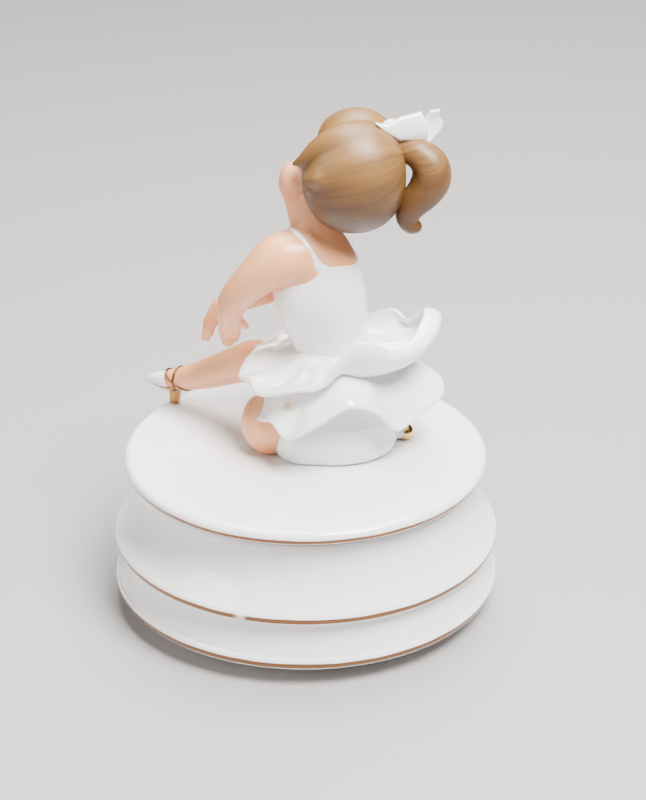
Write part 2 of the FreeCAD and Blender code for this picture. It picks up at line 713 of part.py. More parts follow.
def shoulders():
    """The bare shoulders and neck."""
    return stacked(
        [
            (4.0, 0.0, 58.5, 13.0, 9.8),
            (3.6, 0.2, 64.0, 11.6, 9.2),
            (3.4, 0.8, 69.0, 7.8, 6.8),
            (2.6, 1.2, 73.0, 6.0, 5.7),
            (2.4, 1.6, 79.0, 6.0, 5.7),
        ]
    )


def head():
    """The head, with its rounded cheeks turned to the left."""
    skull = ball(on_lid(9.4, 0.4, 89.8), 14.8)
    face = ball(on_lid(3.4, 2.8, 86.4), 10.6)
    return skull.fuse(face).removeSplitter().cut(shoulders())


def hair_cap():
    """The hair, drawn back from the face."""
    hair = ball(on_lid(13.8, -1.4, 91.2), 17.6)
    face_opening = Part.makeBox(40, 60, 60, Vector(-40, -30, -30))
    face_opening.rotate(ORIGIN, Vector(0, 1, 0), 16.0)
    face_opening.rotate(ORIGIN, Z_AXIS, -14.0)
    face_opening.translate(on_lid(1.6, 0.0, 88.0))
    return only_solid(hair.cut(face_opening).cut(head()).cut(shoulders()))


def ponytail():
    """The ponytail, which swells out behind the bow and flicks up at its tip."""
    return limb(
        [
            (on_lid(26.0, -2.0, 96.5), 4.6),
            (on_lid(31.0, -2.4, 95.8), 5.6),
            (on_lid(36.0, -3.0, 91.5), 6.4),
            (on_lid(35.2, -3.6, 85.5), 6.0),
            (on_lid(31.0, -4.4, 80.5), 4.6),
            (on_lid(30.2, -5.0, 76.6), 3.4),
            (on_lid(32.6, -5.0, 74.4), 2.2),
        ]
    ).cut(hair_cap())


def bow():
    """The ribbon bow over the ponytail."""
    knot = ball(on_lid(25.4, 0.6, 104.0), 3.2)
    lobes = []
    for tip, spread in ((on_lid(40.4, 2.6, 104.4), 4.6), (on_lid(21.6, 7.0, 105.4), 3.2)):
        root = on_lid(25.4, 0.6, 104.0)
        along = tip - root
        wires = []
        for share, half_w, half_t in ((0.0, 1.6, 1.0), (0.45, spread, 1.6), (1.0, spread * 0.9, 1.1)):
            curve = Part.Ellipse(root + along * share, half_w, half_t)
            curve.rotate(
                FreeCAD.Placement(root + along * share, FreeCAD.Rotation(Z_AXIS, along), ORIGIN)
            )
            wires.append(Part.Wire(curve.toShape()))
        lobes.append(Part.makeLoft(wires, True, False))
    ribbon = knot.fuse(lobes)
    return only_solid(ribbon.cut(hair_cap()).cut(ponytail()))


def near_arm():
    """The near arm, reaching forward and down, with its hand."""
    return limb(
        [
            (on_lid(1.0, -5.0, 65.0), 5.6),
            (on_lid(-5.6, -5.8, 65.2), 6.8),
            (on_lid(-13.0, -5.2, 61.2), 6.4),
            (on_lid(-19.4, -2.6, 53.4), 5.1),
            (on_lid(-22.4, 0.6, 46.4), 4.1),
            (on_lid(-22.4, 2.6, 39.4), 3.9),
            (on_lid(-22.8, 3.8, 33.2), 1.8),
        ]
    ).cut(leotard()).cut(shoulders())


def far_arm():
    """The far arm, which crosses behind the near wrist."""
    arm = limb(
        [
            (on_lid(2.0, 6.0, 63.5), 5.2),
            (on_lid(-2.6, 10.6, 58.5), 5.6),
            (on_lid(-9.0, 12.6, 51.2), 5.0),
            (on_lid(-17.4, 12.0, 46.0), 4.2),
            (on_lid(-25.6, 11.0, 43.0), 3.4),
            (on_lid(-29.0, 11.4, 37.0), 2.8),
            (on_lid(-30.8, 12.0, 30.8), 1.3),
        ]
    )
    return arm.cut(leotard()).cut(shoulders()).cut(near_arm())


def straight_leg():
    """The far leg, stretched out to the lid's edge."""
    return limb(
        [
            (on_lid(4.0, 5.0, 18.0), 8.0),
            (on_lid(-5.0, 10.0, 21.6), 7.6),
            (on_lid(-13.0, 14.2, 22.0), 6.8),
            (on_lid(-19.8, 17.6, 19.8), 6.6),
            (on_lid(-29.0, 23.6, 14.6), 5.4),
            (on_lid(-38.6, 29.6, 9.4), 3.8),
        ]
    ).cut(hips())


def bent_leg():
    """The near leg, folded under so that only its knee shows."""
    knee_r = 9.0
    knee = ball(on_lid(-10.8, -2.6, knee_r), knee_r)
    thigh = limb([(on_lid(-10.8, -2.6, knee_r), knee_r - 0.1), (on_lid(6.0, -0.6, 11.0), 10.5)])
    return only_solid(knee.fuse(thigh).cut(hips()).cut(straight_leg()))


def straight_slipper():
    """The slipper on the stretched leg."""
    return limb(
        [
            (on_lid(-37.4, 28.9, 9.6), 4.1),
            (on_lid(-41.6, 31.2, 7.6), 3.9),
            (on_lid(-46.0, 33.0, 8.2), 2.8),
            (on_lid(-50.2, 34.2, 8.4), 1.3),
        ]
    ).cut(straight_leg())


def straight_sole():
    """The gilt heel that stands on the lid, under the stretched slipper."""
    heel = cylinder(1.9, on_lid(-41.9, 32.2, 0.0), 5.0)
    return heel.cut(straight_slipper()).cut(straight_leg())


def bent_slipper():
    """The slipper that peeps out from under the skirt."""
    return limb([(on_lid(22.0, 3.0, 4.4), 3.6), (on_lid(29.6, 4.6, 3.2), 2.6)]).cut(hips())


def bent_sole():
    """The gilt toe of the tucked slipper."""
    return Part.makeSphere(2.6, on_lid(31.0, 4.9, 2.7)).cut(bent_slipper())


def closed_curve(points):
    """A smooth closed curve through the points."""
    curve = Part.BSplineCurve()
    curve.interpolate(points, PeriodicFlag=True)
    return curve


def along(curve, share):
    """The point at a share of the way round a curve."""
    return curve.value(curve.FirstParameter + share * (curve.LastParameter - curve.FirstParameter))


def frill(gather_h, rim, trims):
    """A gathered frill of the skirt: a thin wavy ring lofted from the waist out to its rim."""
    waist = on_lid(WAIST_X, 0, gather_h)
    tips, bellies = [], []
    for degrees, reach, height, belly in rim:
        out = Vector(math.cos(math.radians(degrees)), math.sin(math.radians(degrees)), 0)
        tip = on_lid(WAIST_X, 0, height) + out * reach
        tips.append(tip)
        bellies.append(waist + out * (0.85 * reach + belly) + Vector(0, 0, 0.7 * (tip.z - waist.z) - 1.0))
    rim_curve = closed_curve(tips)
    belly_curve = closed_curve(bellies)
    down = Vector(0, 0, -FRILL_T)
    wires = []
    for i in range(FRILL_SECTIONS):
        tip = along(rim_curve, i / FRILL_SECTIONS)
        belly = along(belly_curve, i / FRILL_SECTIONS)
        out = Vector(tip.x - waist.x, tip.y - waist.y, 0)
        root = waist + Vector(out).normalize() * (WAIST_RY - 2.0)
        middle = waist + out * 0.55 + Vector(0, 0, 0.25 * (tip.z - waist.z) - 2.0)
        top = [root, middle, belly, tip]
        section = top + [p + down for p in reversed(top)]
        wires.append(Part.makePolygon(section + section[:1]))
    ring = Part.makeLoft(wires, True, True, True)
    for trim in trims:
        ring = ring.cut(trim)
    return only_solid(ring)


def figure_core():
    """What the skirt is fitted round."""
    return [hips(), leotard(), straight_leg(), bent_leg(), near_arm(), far_arm()]


def tutu_upper():
    """The upper frill of the skirt."""
    return frill(WAIST_H + 1.0, UPPER_RIM, figure_core())


def tutu_lower():
    """The lower frill of the skirt."""
    return frill(WAIST_H - 4.0, LOWER_RIM, figure_core())


PIECES = [
    box_shell,
    foot_felt,
    well_liner,
    dust_cover,
    bedplate,
    movement_screws,
    winding_arbor,
    winding_key,
    ratchet_wheel,
    click,
    click_stud,
    spring_barrel,
    barrel_cap,
    mainspring,
    barrel_bridge,
    cylinder_arbor,
    cylinder_drum,
    cylinder_pins,
    cylinder_pinion,
    cylinder_gear,
    cylinder_bearings,
    comb,
    comb_block,
    comb_screws,
    governor_housing,
    governor_pinion,
    governor_fan,
    lid_plate,
    lid_hub,
    hips,
    leotard,
    shoulders,
    head,
    hair_cap,
    ponytail,
    bow,
    near_arm,
    far_arm,
    straight_leg,
    bent_leg,
    straight_slipper,
    straight_sole,
    bent_slipper,
    bent_sole,
    tutu_upper,
    tutu_lower,
]


def main():
    """Builds every piece and writes one file for each."""
    os.makedirs("parts", exist_ok=True)
    for piece in PIECES:
        shape = piece()
        if not shape.Solids or not shape.isValid():
            print("check", piece.__name__, shape.ShapeType, shape.isValid(), len(shape.Solids))
        shape.exportStep("parts/" + piece.__name__ + ".step")


main()
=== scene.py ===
"""Looks for the porcelain ballerina jewellery box: figure, frills, glaze, gilding, movement and studio."""

import json
import logging
import math
from dataclasses import dataclass
from enum import Enum
from typing import Callable, Iterable, Sequence

import bpy
import numpy as np
import openvdb
from mathutils import Matrix, Vector

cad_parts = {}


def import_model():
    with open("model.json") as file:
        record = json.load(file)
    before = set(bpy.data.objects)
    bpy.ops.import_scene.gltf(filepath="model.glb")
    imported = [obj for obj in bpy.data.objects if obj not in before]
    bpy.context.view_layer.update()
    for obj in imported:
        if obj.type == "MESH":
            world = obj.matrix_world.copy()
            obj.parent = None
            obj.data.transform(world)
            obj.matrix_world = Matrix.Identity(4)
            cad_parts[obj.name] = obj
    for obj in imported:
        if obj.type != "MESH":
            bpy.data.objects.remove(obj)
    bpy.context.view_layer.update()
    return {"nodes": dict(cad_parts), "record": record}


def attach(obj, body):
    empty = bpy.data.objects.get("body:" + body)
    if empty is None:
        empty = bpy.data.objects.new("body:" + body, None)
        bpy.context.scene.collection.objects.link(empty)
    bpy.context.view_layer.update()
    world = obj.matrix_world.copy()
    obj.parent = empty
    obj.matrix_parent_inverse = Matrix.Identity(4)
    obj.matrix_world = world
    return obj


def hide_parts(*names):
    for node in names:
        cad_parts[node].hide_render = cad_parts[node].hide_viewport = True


logging.basicConfig(level=logging.INFO, format="%(message)s")
LOG = logging.getLogger("ballerina_box")

MM = 0.001
LID_TOP = 50.0
Point = tuple[float, float, float]
Colour = tuple[float, float, float]


class Slot(Enum):
    """Material slots of the record."""

    GLAZE = "glazed_white"
    SKIN = "painted_skin"
    HAIR = "painted_hair"
    GILT = "gilded"
    FELT = "felt"
    CLEAR = "clear_cover"
    BRASS = "brass"
    STEEL = "steel"


class Body(Enum):
    """Moving body that the figure's pieces ride on."""

    LID = "lid"


class Wire:
    """One shader value; arithmetic on it adds Math nodes to its graph."""

    def __init__(self, graph: "Graph", socket: bpy.types.NodeSocket) -> None:
        self.graph = graph
        self.socket = socket

    def _math(self, operation: str, *others: "Wire | float") -> "Wire":
        return self.graph.maths(operation, self, *others)

    def __add__(self, other: "Wire | float") -> "Wire":
        return self._math("ADD", other)

    def __sub__(self, other: "Wire | float") -> "Wire":
        return self._math("SUBTRACT", other)

    def __mul__(self, other: "Wire | float") -> "Wire":
        return self._math("MULTIPLY", other)

    def __truediv__(self, other: "Wire | float") -> "Wire":
        return self._math("DIVIDE", other)

    def __radd__(self, other: float) -> "Wire":
        return self.graph.maths("ADD", other, self)

    def __rsub__(self, other: float) -> "Wire":
        return self.graph.maths("SUBTRACT", other, self)

    def __rmul__(self, other: float) -> "Wire":
        return self.graph.maths("MULTIPLY", other, self)

    def __rtruediv__(self, other: float) -> "Wire":
        return self.graph.maths("DIVIDE", other, self)

    def __neg__(self) -> "Wire":
        return self._math("MULTIPLY", -1.0)

    def __abs__(self) -> "Wire":
        return self._math("ABSOLUTE")

    def ramp(self, low: float, high: float) -> "Wire":
        """A smooth step.

        Args:
            low: value that gives 0.
            high: value that gives 1.
        Returns:
            The eased value between 0 and 1.
        """
        settings = {"interpolation_type": "SMOOTHSTEP"}
        node = self.graph.node("ShaderNodeMapRange", settings, {0: self, 1: low, 2: high})
        return Wire(self.graph, node.outputs[0])


class Graph:
    """A material's node tree with one Principled shader."""

    def __init__(self, name: str) -> None:
        self.material = bpy.data.materials.new(name)
        self.material.use_nodes = True
        self.tree = self.material.node_tree
        self.shader = next(n for n in self.tree.nodes if n.type == "BSDF_PRINCIPLED")

    def node(self, kind: str, settings: dict | None = None, inputs: dict | None = None) -> bpy.types.Node:
        """Adds any node.

        Args:
            kind: Blender's node type.
            settings: attributes of the node.
            inputs: sockets to set or to wire, by name or number.
        Returns:
            The new node.
        """
        made = self.tree.nodes.new(kind)
        for key, value in (settings or {}).items():
            setattr(made, key, value)
        for key, value in (inputs or {}).items():
            self.feed(made.inputs[key], value)
        return made

    def feed(self, socket: bpy.types.NodeSocket, value: "Wire | float | Sequence[float]") -> None:
        """Args: socket: what to fill. value: a wire or a constant."""
        if isinstance(value, Wire):
            self.tree.links.new(value.socket, socket)
        elif isinstance(value, tuple) and len(value) == 3 and socket.type == "RGBA":
            socket.default_value = (*value, 1.0)
        else:
            socket.default_value = value

    def maths(self, operation: str, *values: Wire | float) -> Wire:
        """Args: operation, values. Returns: the result of one Math node."""
        node = self.node("ShaderNodeMath", {"operation": operation}, dict(enumerate(values)))
        return Wire(self, node.outputs[0])

    def place(self) -> Wire:
        """Returns: the object coordinates."""
        return Wire(self, self.node("ShaderNodeTexCoord").outputs["Object"])

    def split(self, vector: Wire) -> tuple[Wire, Wire, Wire]:
        """Args: vector. Returns: its three parts."""
        node = self.node("ShaderNodeSeparateXYZ", None, {0: vector})
        return Wire(self, node.outputs[0]), Wire(self, node.outputs[1]), Wire(self, node.outputs[2])

    def join(self, x: Wire | float, y: Wire | float, z: Wire | float) -> Wire:
        """Args: x, y, z. Returns: the vector of the three."""
        return Wire(self, self.node("ShaderNodeCombineXYZ", None, {0: x, 1: y, 2: z}).outputs[0])

    def noise(self, where: Wire, scale: float, detail: float = 3.0) -> Wire:
        """Args: where, scale, detail. Returns: fractal noise about 0.5."""
        node = self.node("ShaderNodeTexNoise", None, {"Vector": where, "Scale": scale, "Detail": detail})
        return Wire(self, node.outputs[0])

    def mix(self, share: Wire | float, low: Wire | Colour, high: Wire | Colour) -> Wire:
        """Args: share, low, high. Returns: the mixed colour."""
        node = self.node("ShaderNodeMix", {"data_type": "RGBA"}, {0: share, 6: low, 7: high})
        return Wire(self, node.outputs[2])

    def blob(self, where: Wire, centre: Point, radius: float) -> Wire:
        """A soft round mask.

        Args:
            where: object coordinates.
            centre: middle in mm.
            radius: reach in mm.
        Returns:
            1 at the middle, 0 at the reach.
        """
        inputs = {0: where, 1: tuple(c * MM for c in centre)}
        node = self.node("ShaderNodeVectorMath", {"operation": "DISTANCE"}, inputs)
        return 1.0 - Wire(self, node.outputs["Value"]).ramp(0.0, radius * MM)

    def bump(self, height: Wire, strength: float, distance: float) -> None:
        """Args: height, strength, distance in metres."""
        inputs = {"Strength": strength, "Distance": distance, "Height": height}
        self.set(Normal=Wire(self, self.node("ShaderNodeBump", None, inputs).outputs[0]))

    def set(self, **sockets: Wire | float | Colour) -> None:
        """Args: sockets of the Principled shader, with _ for a space."""
        for key, value in sockets.items():
            self.feed(self.shader.inputs[key.replace("_", " ")], value)


@dataclass(frozen=True)
class Glaze:
    """White porcelain under a clear gloss glaze, with gilt lines at given heights and brown spots of
    painted shadow.
    """

    name: str
    white: Colour = (0.91, 0.895, 0.88)
    roughness: float = 0.1
    lines: tuple[tuple[float, float, float], ...] = ()
    # bare: brown spots painted as the shadow inside a small hole; no hole is cut in the mesh.
    bare: tuple[tuple[Point, float], ...] = ()

    def build(self) -> bpy.types.Material:
        """Returns: the material."""
        graph = Graph(self.name)
        where = graph.place()
        cloud = graph.noise(where, 60.0)
        base = graph.mix(cloud.ramp(0.3, 0.75), self.white, tuple(c * 0.975 for c in self.white))
        metal: Wire | float = 0.0
        x, y, z = graph.split(where)
        for height, half, wear in self.lines:
            wobble = (graph.noise(where, 90.0) - 0.5) * (0.5 * MM)
            off = abs(z + wobble - height * MM)
            band = 1.0 - off.ramp(half * 0.75 * MM, half * MM)
            worn = graph.noise(graph.join(x, y, z * 0.2), 45.0).ramp(wear - 0.06, wear)
            band = band * worn
            # Painted dark reflection and shade: the edges of each gilt line are darkened to near-black
            # brown.
            rim = off.ramp(half * 0.35 * MM, half * 0.95 * MM)
            gold = graph.mix(rim, (0.24, 0.095, 0.028), (0.065, 0.022, 0.01))
            base = graph.mix(band, base, gold)
            metal = band if isinstance(metal, float) else graph.maths("MAXIMUM", metal, band)
        # Brown spots: painted shadow of a small hole, with no hole in the mesh behind them.
        for centre, radius in self.bare:
            base = graph.mix(graph.blob(where, centre, radius), base, (0.50, 0.30, 0.14))
        graph.set(Base_Color=base, Metallic=metal, Roughness=self.roughness)
        graph.set(Coat_Weight=0.6, Coat_Roughness=0.04)
        graph.set(Subsurface_Weight=0.06, Subsurface_Radius=(0.004, 0.003, 0.002))
        graph.bump(graph.noise(where, 120.0, 2.0), 0.03, 0.0006)
        return graph.material


@dataclass(frozen=True)
class Skin:
    """Peach painted bisque with an airbrushed blush on the joints."""

    name: str
    tone: Colour = (0.82, 0.375, 0.18)
    flush: Colour = (0.70, 0.17, 0.045)
    blushes: tuple[tuple[Point, float], ...] = ()

    def build(self) -> bpy.types.Material:
        """Returns: the material."""
        graph = Graph(self.name)
        where = graph.place()
        cloud = graph.noise(where, 95.0)
        base = graph.mix(cloud.ramp(0.35, 0.7), self.tone, tuple(c * 0.94 for c in self.tone))
        for centre, radius in self.blushes:
            base = graph.mix(graph.blob(where, centre, radius) * 0.75, base, self.flush)
        graph.set(Base_Color=base, Roughness=0.36, Coat_Weight=0.12, Coat_Roughness=0.3)
        graph.set(Subsurface_Weight=0.12, Subsurface_Radius=(0.005, 0.002, 0.001))
        graph.bump(graph.noise(where, 900.0), 0.03, 0.0002)
        return graph.material


@dataclass(frozen=True)
class HairPaint:
    """Brushed brown strokes that run from the hairline to the tie, with painted light: lighter towards the
    top, darker towards the bottom.
    """

    name: str
    tie: Point
    axis: Point
    dark: Colour = (0.08, 0.03, 0.006)
    light: Colour = (0.285, 0.145, 0.04)
    strokes: float = 26.0

    def build(self) -> bpy.types.Material:
        """Returns: the material."""
        graph = Graph(self.name)
        where = graph.place()
        inputs = {0: where, 1: tuple(c * MM for c in self.tie)}
        away = graph.node("ShaderNodeVectorMath", {"operation": "SUBTRACT"}, inputs)
        turn = Vector((0, 0, 1)).rotation_difference(Vector(self.axis).normalized()).inverted().to_euler()
        inputs = {0: Wire(graph, away.outputs[0]), 4: tuple(turn)}
        spun = graph.node("ShaderNodeVectorRotate", {"rotation_type": "EULER_XYZ"}, inputs)
        u, v, w = graph.split(Wire(graph, spun.outputs[0]))
        angle = graph.maths("ARCTAN2", v, u)
        flow = graph.join(angle * self.strokes, w * 60.0, 0.0)
        fine = graph.noise(flow, 1.0, 6.0)
        broad = graph.noise(graph.join(angle * 4.0, w * 30.0, 3.0), 1.0, 2.0)
        # Painted light and shade: the hair gets lighter towards the top and darker towards the bottom, as
        # if lit from above.
        height = graph.split(where)[2].ramp((LID_TOP + 70.0) * MM, (LID_TOP + 108.0) * MM)
        share = (fine * 0.17 + broad * 0.55 + height * 0.42 - 0.08).ramp(0.3, 0.98)
        base = graph.mix(share, self.dark, self.light)
        graph.set(Base_Color=base, Roughness=0.46, Coat_Weight=0.06, Coat_Roughness=0.35)
        graph.bump(fine, 0.1, 0.0005)
        return graph.material


@dataclass(frozen=True)
class Gilding:
    """Burnished gold over glaze."""

    name: str
    gold: Colour = (0.86, 0.56, 0.20)
    roughness: float = 0.14

    def build(self) -> bpy.types.Material:
        """Returns: the material."""
        graph = Graph(self.name)
        streak = graph.noise(graph.place(), 500.0)
        graph.set(Base_Color=graph.mix(streak, self.gold, tuple(c * 0.75 for c in self.gold)))
        graph.set(Metallic=1.0, Roughness=self.roughness)
        return graph.material


@dataclass(frozen=True)
class Metal:
    """Turned or brushed metal of the movement."""

    name: str
    colour: Colour
    roughness: float = 0.3

    def build(self) -> bpy.types.Material:
        """Returns: the material."""
        graph = Graph(self.name)
        x, y, z = graph.split(graph.place())
        grain = graph.noise(graph.join(x * 40.0, y * 900.0, z * 900.0), 1.0, 4.0)
        graph.set(Base_Color=graph.mix(grain, self.colour, tuple(c * 0.8 for c in self.colour)))
        graph.set(Metallic=1.0, Roughness=grain * 0.15 + (self.roughness - 0.07))
        return graph.material


@dataclass(frozen=True)
class Felt:
    """Short dense felt."""

    name: str
    colour: Colour = (0.22, 0.02, 0.03)

    def build(self) -> bpy.types.Material:
        """Returns: the material."""
        graph = Graph(self.name)
        nap = graph.noise(graph.place(), 2500.0, 4.0)
        pale = tuple(c * 1.8 for c in self.colour)
        graph.set(Base_Color=graph.mix(nap, self.colour, pale), Roughness=0.95)
        graph.bump(nap, 0.4, 0.0004)
        return graph.material


@dataclass(frozen=True)
class ClearPlastic:
    """The clear moulded dust cover."""

    name: str

    def build(self) -> bpy.types.Material:
        """Returns: the material."""
        graph = Graph(self.name)
        graph.set(Base_Color=(0.9, 0.93, 0.94), Roughness=0.08, Alpha=0.28)
        return graph.material


@dataclass(frozen=True)
class Paint:
    """Plain enamel paint for small marks."""

    name: str
    colour: Colour
    roughness: float = 0.35

    def build(self) -> bpy.types.Material:
        """Returns: the material."""
        graph = Graph(self.name)
        graph.set(Base_Color=self.colour, Roughness=self.roughness)
        return graph.material


def on_lid(x: float, y: float, height: float) -> Point:
    """Args: x, y, height above the lid, all mm. Returns: the point in mm."""
    return (x, y, LID_TOP + height)


class Piece:
    """Makes mesh objects that ride on a body and stand for CAD nodes."""

    @staticmethod
    def mesh(name: str, points: np.ndarray, faces: Sequence, smooth: bool = True) -> bpy.types.Object:
        """Args: name, points in mm, faces, smooth. Returns: the linked object."""
        data = bpy.data.meshes.new(name)
        data.from_pydata((np.asarray(points) * MM).tolist(), [], [tuple(map(int, f)) for f in faces])
        data.validate()
        data.update()
        for polygon in data.polygons:
            polygon.use_smooth = smooth
        made = bpy.data.objects.new(name, data)
        bpy.context.scene.collection.objects.link(made)
        LOG.info("piece %s: %d faces", name, len(data.polygons))
        return made

    @staticmethod
    def dress(
        made: bpy.types.Object,
        material: bpy.types.Material,
        slot: Slot,
        nodes: Sequence[str] = (),
        body: Body = Body.LID,
    ) -> bpy.types.Object:
        """Gives a piece its finish, its body and its place in the part.

        Args:
            made: the piece.
            material: its finish.
            slot: the record's material slot; not used.
            nodes: CAD nodes that it stands for.
            body: the body that it rides on.
        Returns:
            The same object.
        """
        made.data.materials.append(material)
        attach(made, body.value)
        if nodes:
            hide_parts(*nodes)
        return made


Shape = Callable[[np.ndarray], np.ndarray]
Stations = tuple[tuple[Point, float], ...]
Finger = tuple[float, float, float]


def catmull(
    p0: np.ndarray, p1: np.ndarray, p2: np.ndarray, p3: np.ndarray, f: np.ndarray | float
) -> np.ndarray:
    """A place on a smooth curve through a row of points.

    Args:
        p0: point before the span.
        p1: start of the span.
        p2: end of the span.
        p3: point after the span.
        f: share of the way along the span.
    Returns:
        The place on the curve.
    """
    bend = (2 * p0 - 5 * p1 + 4 * p2 - p3) * f**2 + (3 * p1 - p0 - 3 * p2 + p3) * f**3
    return 0.5 * (2 * p1 + (p2 - p0) * f + bend)


class Form:
    """Signed distances in mm, joined smoothly and turned into meshes."""

    @staticmethod
    def ball(centre: Point, radii: float | Point, square: float = 2.0) -> Shape:
        """Args: centre, radius or three radii, squareness (2 is round). Returns: the shape."""
        middle = np.array(centre)
        size = np.array(radii if isinstance(radii, tuple) else (radii,) * 3, dtype=float)

        def shape(p: np.ndarray) -> np.ndarray:
            q = (p - middle) / size
            k0 = np.sum(np.abs(q) ** square, axis=-1) ** (1.0 / square)
            k1 = np.linalg.norm(q / size, axis=-1)
            return k0 * (k0 - 1.0) / np.maximum(k1, 1e-6)

        return shape

    @staticmethod
    def cone(a: Point, b: Point, ra: float, rb: float, flat: float = 1.0) -> Shape:
        """Args: ends, end radii, flat: Y size as a share. Returns: the round cone."""
        start, end = np.array(a), np.array(b)
        squeeze = np.array((1.0, 1.0 / flat, 1.0))

        def shape(p: np.ndarray) -> np.ndarray:
            q, s, e = p * squeeze, start * squeeze, end * squeeze
            along = e - s
            t = np.clip(((q - s) @ along) / (along @ along), 0.0, 1.0)
            near = np.linalg.norm(q - s - t[..., None] * along, axis=-1)
            return (near - (ra + (rb - ra) * t)) * min(1.0, flat)

        return shape

    @staticmethod
    def limb(stations: Sequence[tuple[Point, float]], flat: float = 1.0, parts: int = 5) -> Shape:
        """A smooth tapering limb.

        Args:
            stations: points with radii along the limb.
            flat: Y size as a share.
            parts: cones between two stations.
        Returns:
            The shape.
        """
        held = np.array([(*point, radius) for point, radius in stations])
        held = np.concatenate([held[:1], held, held[-1:]])
        fine = []
        for i in range(1, len(held) - 2):
            for f in np.arange(parts) / parts:
                fine.append(catmull(held[i - 1], held[i], held[i + 1], held[i + 2], f))
        fine.append(held[-1])
        cones = [Form.cone(tuple(a[:3]), tuple(b[:3]), a[3], b[3], flat) for a, b in zip(fine, fine[1:])]
        return Form.join(cones, 0.25)

    @staticmethod
    def join(parts: Iterable[Shape], soft: float) -> Shape:
        """Args: parts, softness in mm. Returns: their smooth union."""
        held = list(parts)

        def shape(p: np.ndarray) -> np.ndarray:
            total = held[0](p)
            for part in held[1:]:
                total = Form.soft_min(total, part(p), soft)
            return total

        return shape

    @staticmethod
    def soft_min(a: np.ndarray, b: np.ndarray, soft: float) -> np.ndarray:
        """Args: two fields, softness. Returns: their smooth minimum."""
        h = np.maximum(soft - np.abs(a - b), 0.0) / max(soft, 1e-6)
        return np.minimum(a, b) - h * h * soft * 0.25

    @staticmethod
    def meet(a: Shape, b: Shape, soft: float) -> Shape:
        """Args: two shapes, softness. Returns: their smooth intersection."""
        return lambda p: -Form.soft_min(-a(p), -b(p), soft)

    @staticmethod
    def plate(
        outline: Sequence[tuple[float, float]], y0: float, slope: float, bow: float, thick: float
    ) -> Shape:
        """An upright ribbon plate.

        Args:
            outline: corners as (x, height above the lid).
            y0: Y at the outline's left end.
            slope: change of Y with x.
            bow: bulge of the plate across its height.
            thick: half thickness.
        Returns:
            The shape.
        """
        corners = np.array(outline, dtype=float)
        left, mid = corners[:, 0].min(), corners[:, 1].mean()

        def shape(p: np.ndarray) -> np.ndarray:
            x, y, h = p[..., 0], p[..., 1], p[..., 2] - LID_TOP
            best = np.full(x.shape, 1e9)
            inside = np.zeros(x.shape, dtype=bool)
            for (ax, ah), (bx, bh) in zip(corners, np.roll(corners, -1, axis=0)):
                dx, dh = bx - ax, bh - ah
                t = np.clip(((x - ax) * dx + (h - ah) * dh) / (dx * dx + dh * dh), 0, 1)
                best = np.minimum(best, np.hypot(x - ax - t * dx, h - ah - t * dh))
                crosses = (ah > h) != (bh > h)
                inside ^= crosses & (x < dx * (h - ah) / (dh if abs(dh) > 1e-9 else 1e-9) + ax)
            edge = np.where(inside, -best, best) + 0.5
            face = np.abs(y - y0 - slope * (x - left) - bow * ((h - mid) / 4.0) ** 2) - thick + 0.5
            outside = np.hypot(np.maximum(edge, 0), np.maximum(face, 0))
            return outside + np.minimum(np.maximum(edge, face), 0) - 0.5

        return shape

    @staticmethod
    def mesh(name: str, shape: Shape, low: Point, high: Point, step: float) -> bpy.types.Object:
        """Args: name, shape, box corners in mm, voxel size in mm. Returns: the meshed object."""
        axes = [np.arange(a, b + step, step, dtype=np.float64) for a, b in zip(low, high)]
        grid = np.stack(np.meshgrid(*axes, indexing="ij"), axis=-1)
        values = shape(grid).astype(np.float32)
        volume = openvdb.FloatGrid(background=float(4 * step))
        volume.copyFromArray(np.clip(values, -4 * step, 4 * step))
        points, quads = volume.convertToQuads(isovalue=0.0)
        return Piece.mesh(name, points * step + np.array(low), quads[:, ::-1])


def spline_loop(points: np.ndarray, count: int) -> np.ndarray:
    """A closed smooth curve.

    Args:
        points: control points.
        count: samples round the loop.
    Returns:
        The sampled points.
    """
    n = len(points)
    t = np.arange(count) * n / count
    i = np.floor(t).astype(int)
    return catmull(points[i - 1], points[i], points[(i + 1) % n], points[(i + 2) % n], (t - i)[:, None])


def tube(name: str, path: np.ndarray, radius: float, closed: bool, sides: int = 10) -> bpy.types.Object:
    """Args: name, path in mm, radius, closed, sides. Returns: a round cord along the path."""
    n = len(path)
    ahead = np.roll(path, -1, axis=0) - np.roll(path, 1, axis=0)
    if not closed:
        ahead[0], ahead[-1] = path[1] - path[0], path[-1] - path[-2]
    ahead /= np.linalg.norm(ahead, axis=1)[:, None]
    side = np.cross(ahead, (0.31, 0.17, 0.94))
    side /= np.linalg.norm(side, axis=1)[:, None]
    up = np.cross(side, ahead)
    turn = np.linspace(0, 2 * np.pi, sides, endpoint=False)
    wide, tall = np.cos(turn)[None, :, None], np.sin(turn)[None, :, None]
    ring = path[:, None] + radius * (wide * side[:, None] + tall * up[:, None])
    faces = []
    for i in range(n if closed else n - 1):
        j = (i + 1) % n
        for k in range(sides):
            m = (k + 1) % sides
            faces.append((i * sides + k, i * sides + m, j * sides + m, j * sides + k))
    if not closed:
        faces.append(tuple(range(sides))[::-1])
        faces.append(tuple((n - 1) * sides + k for k in range(sides)))
    return Piece.mesh(name, ring.reshape(-1, 3), faces)


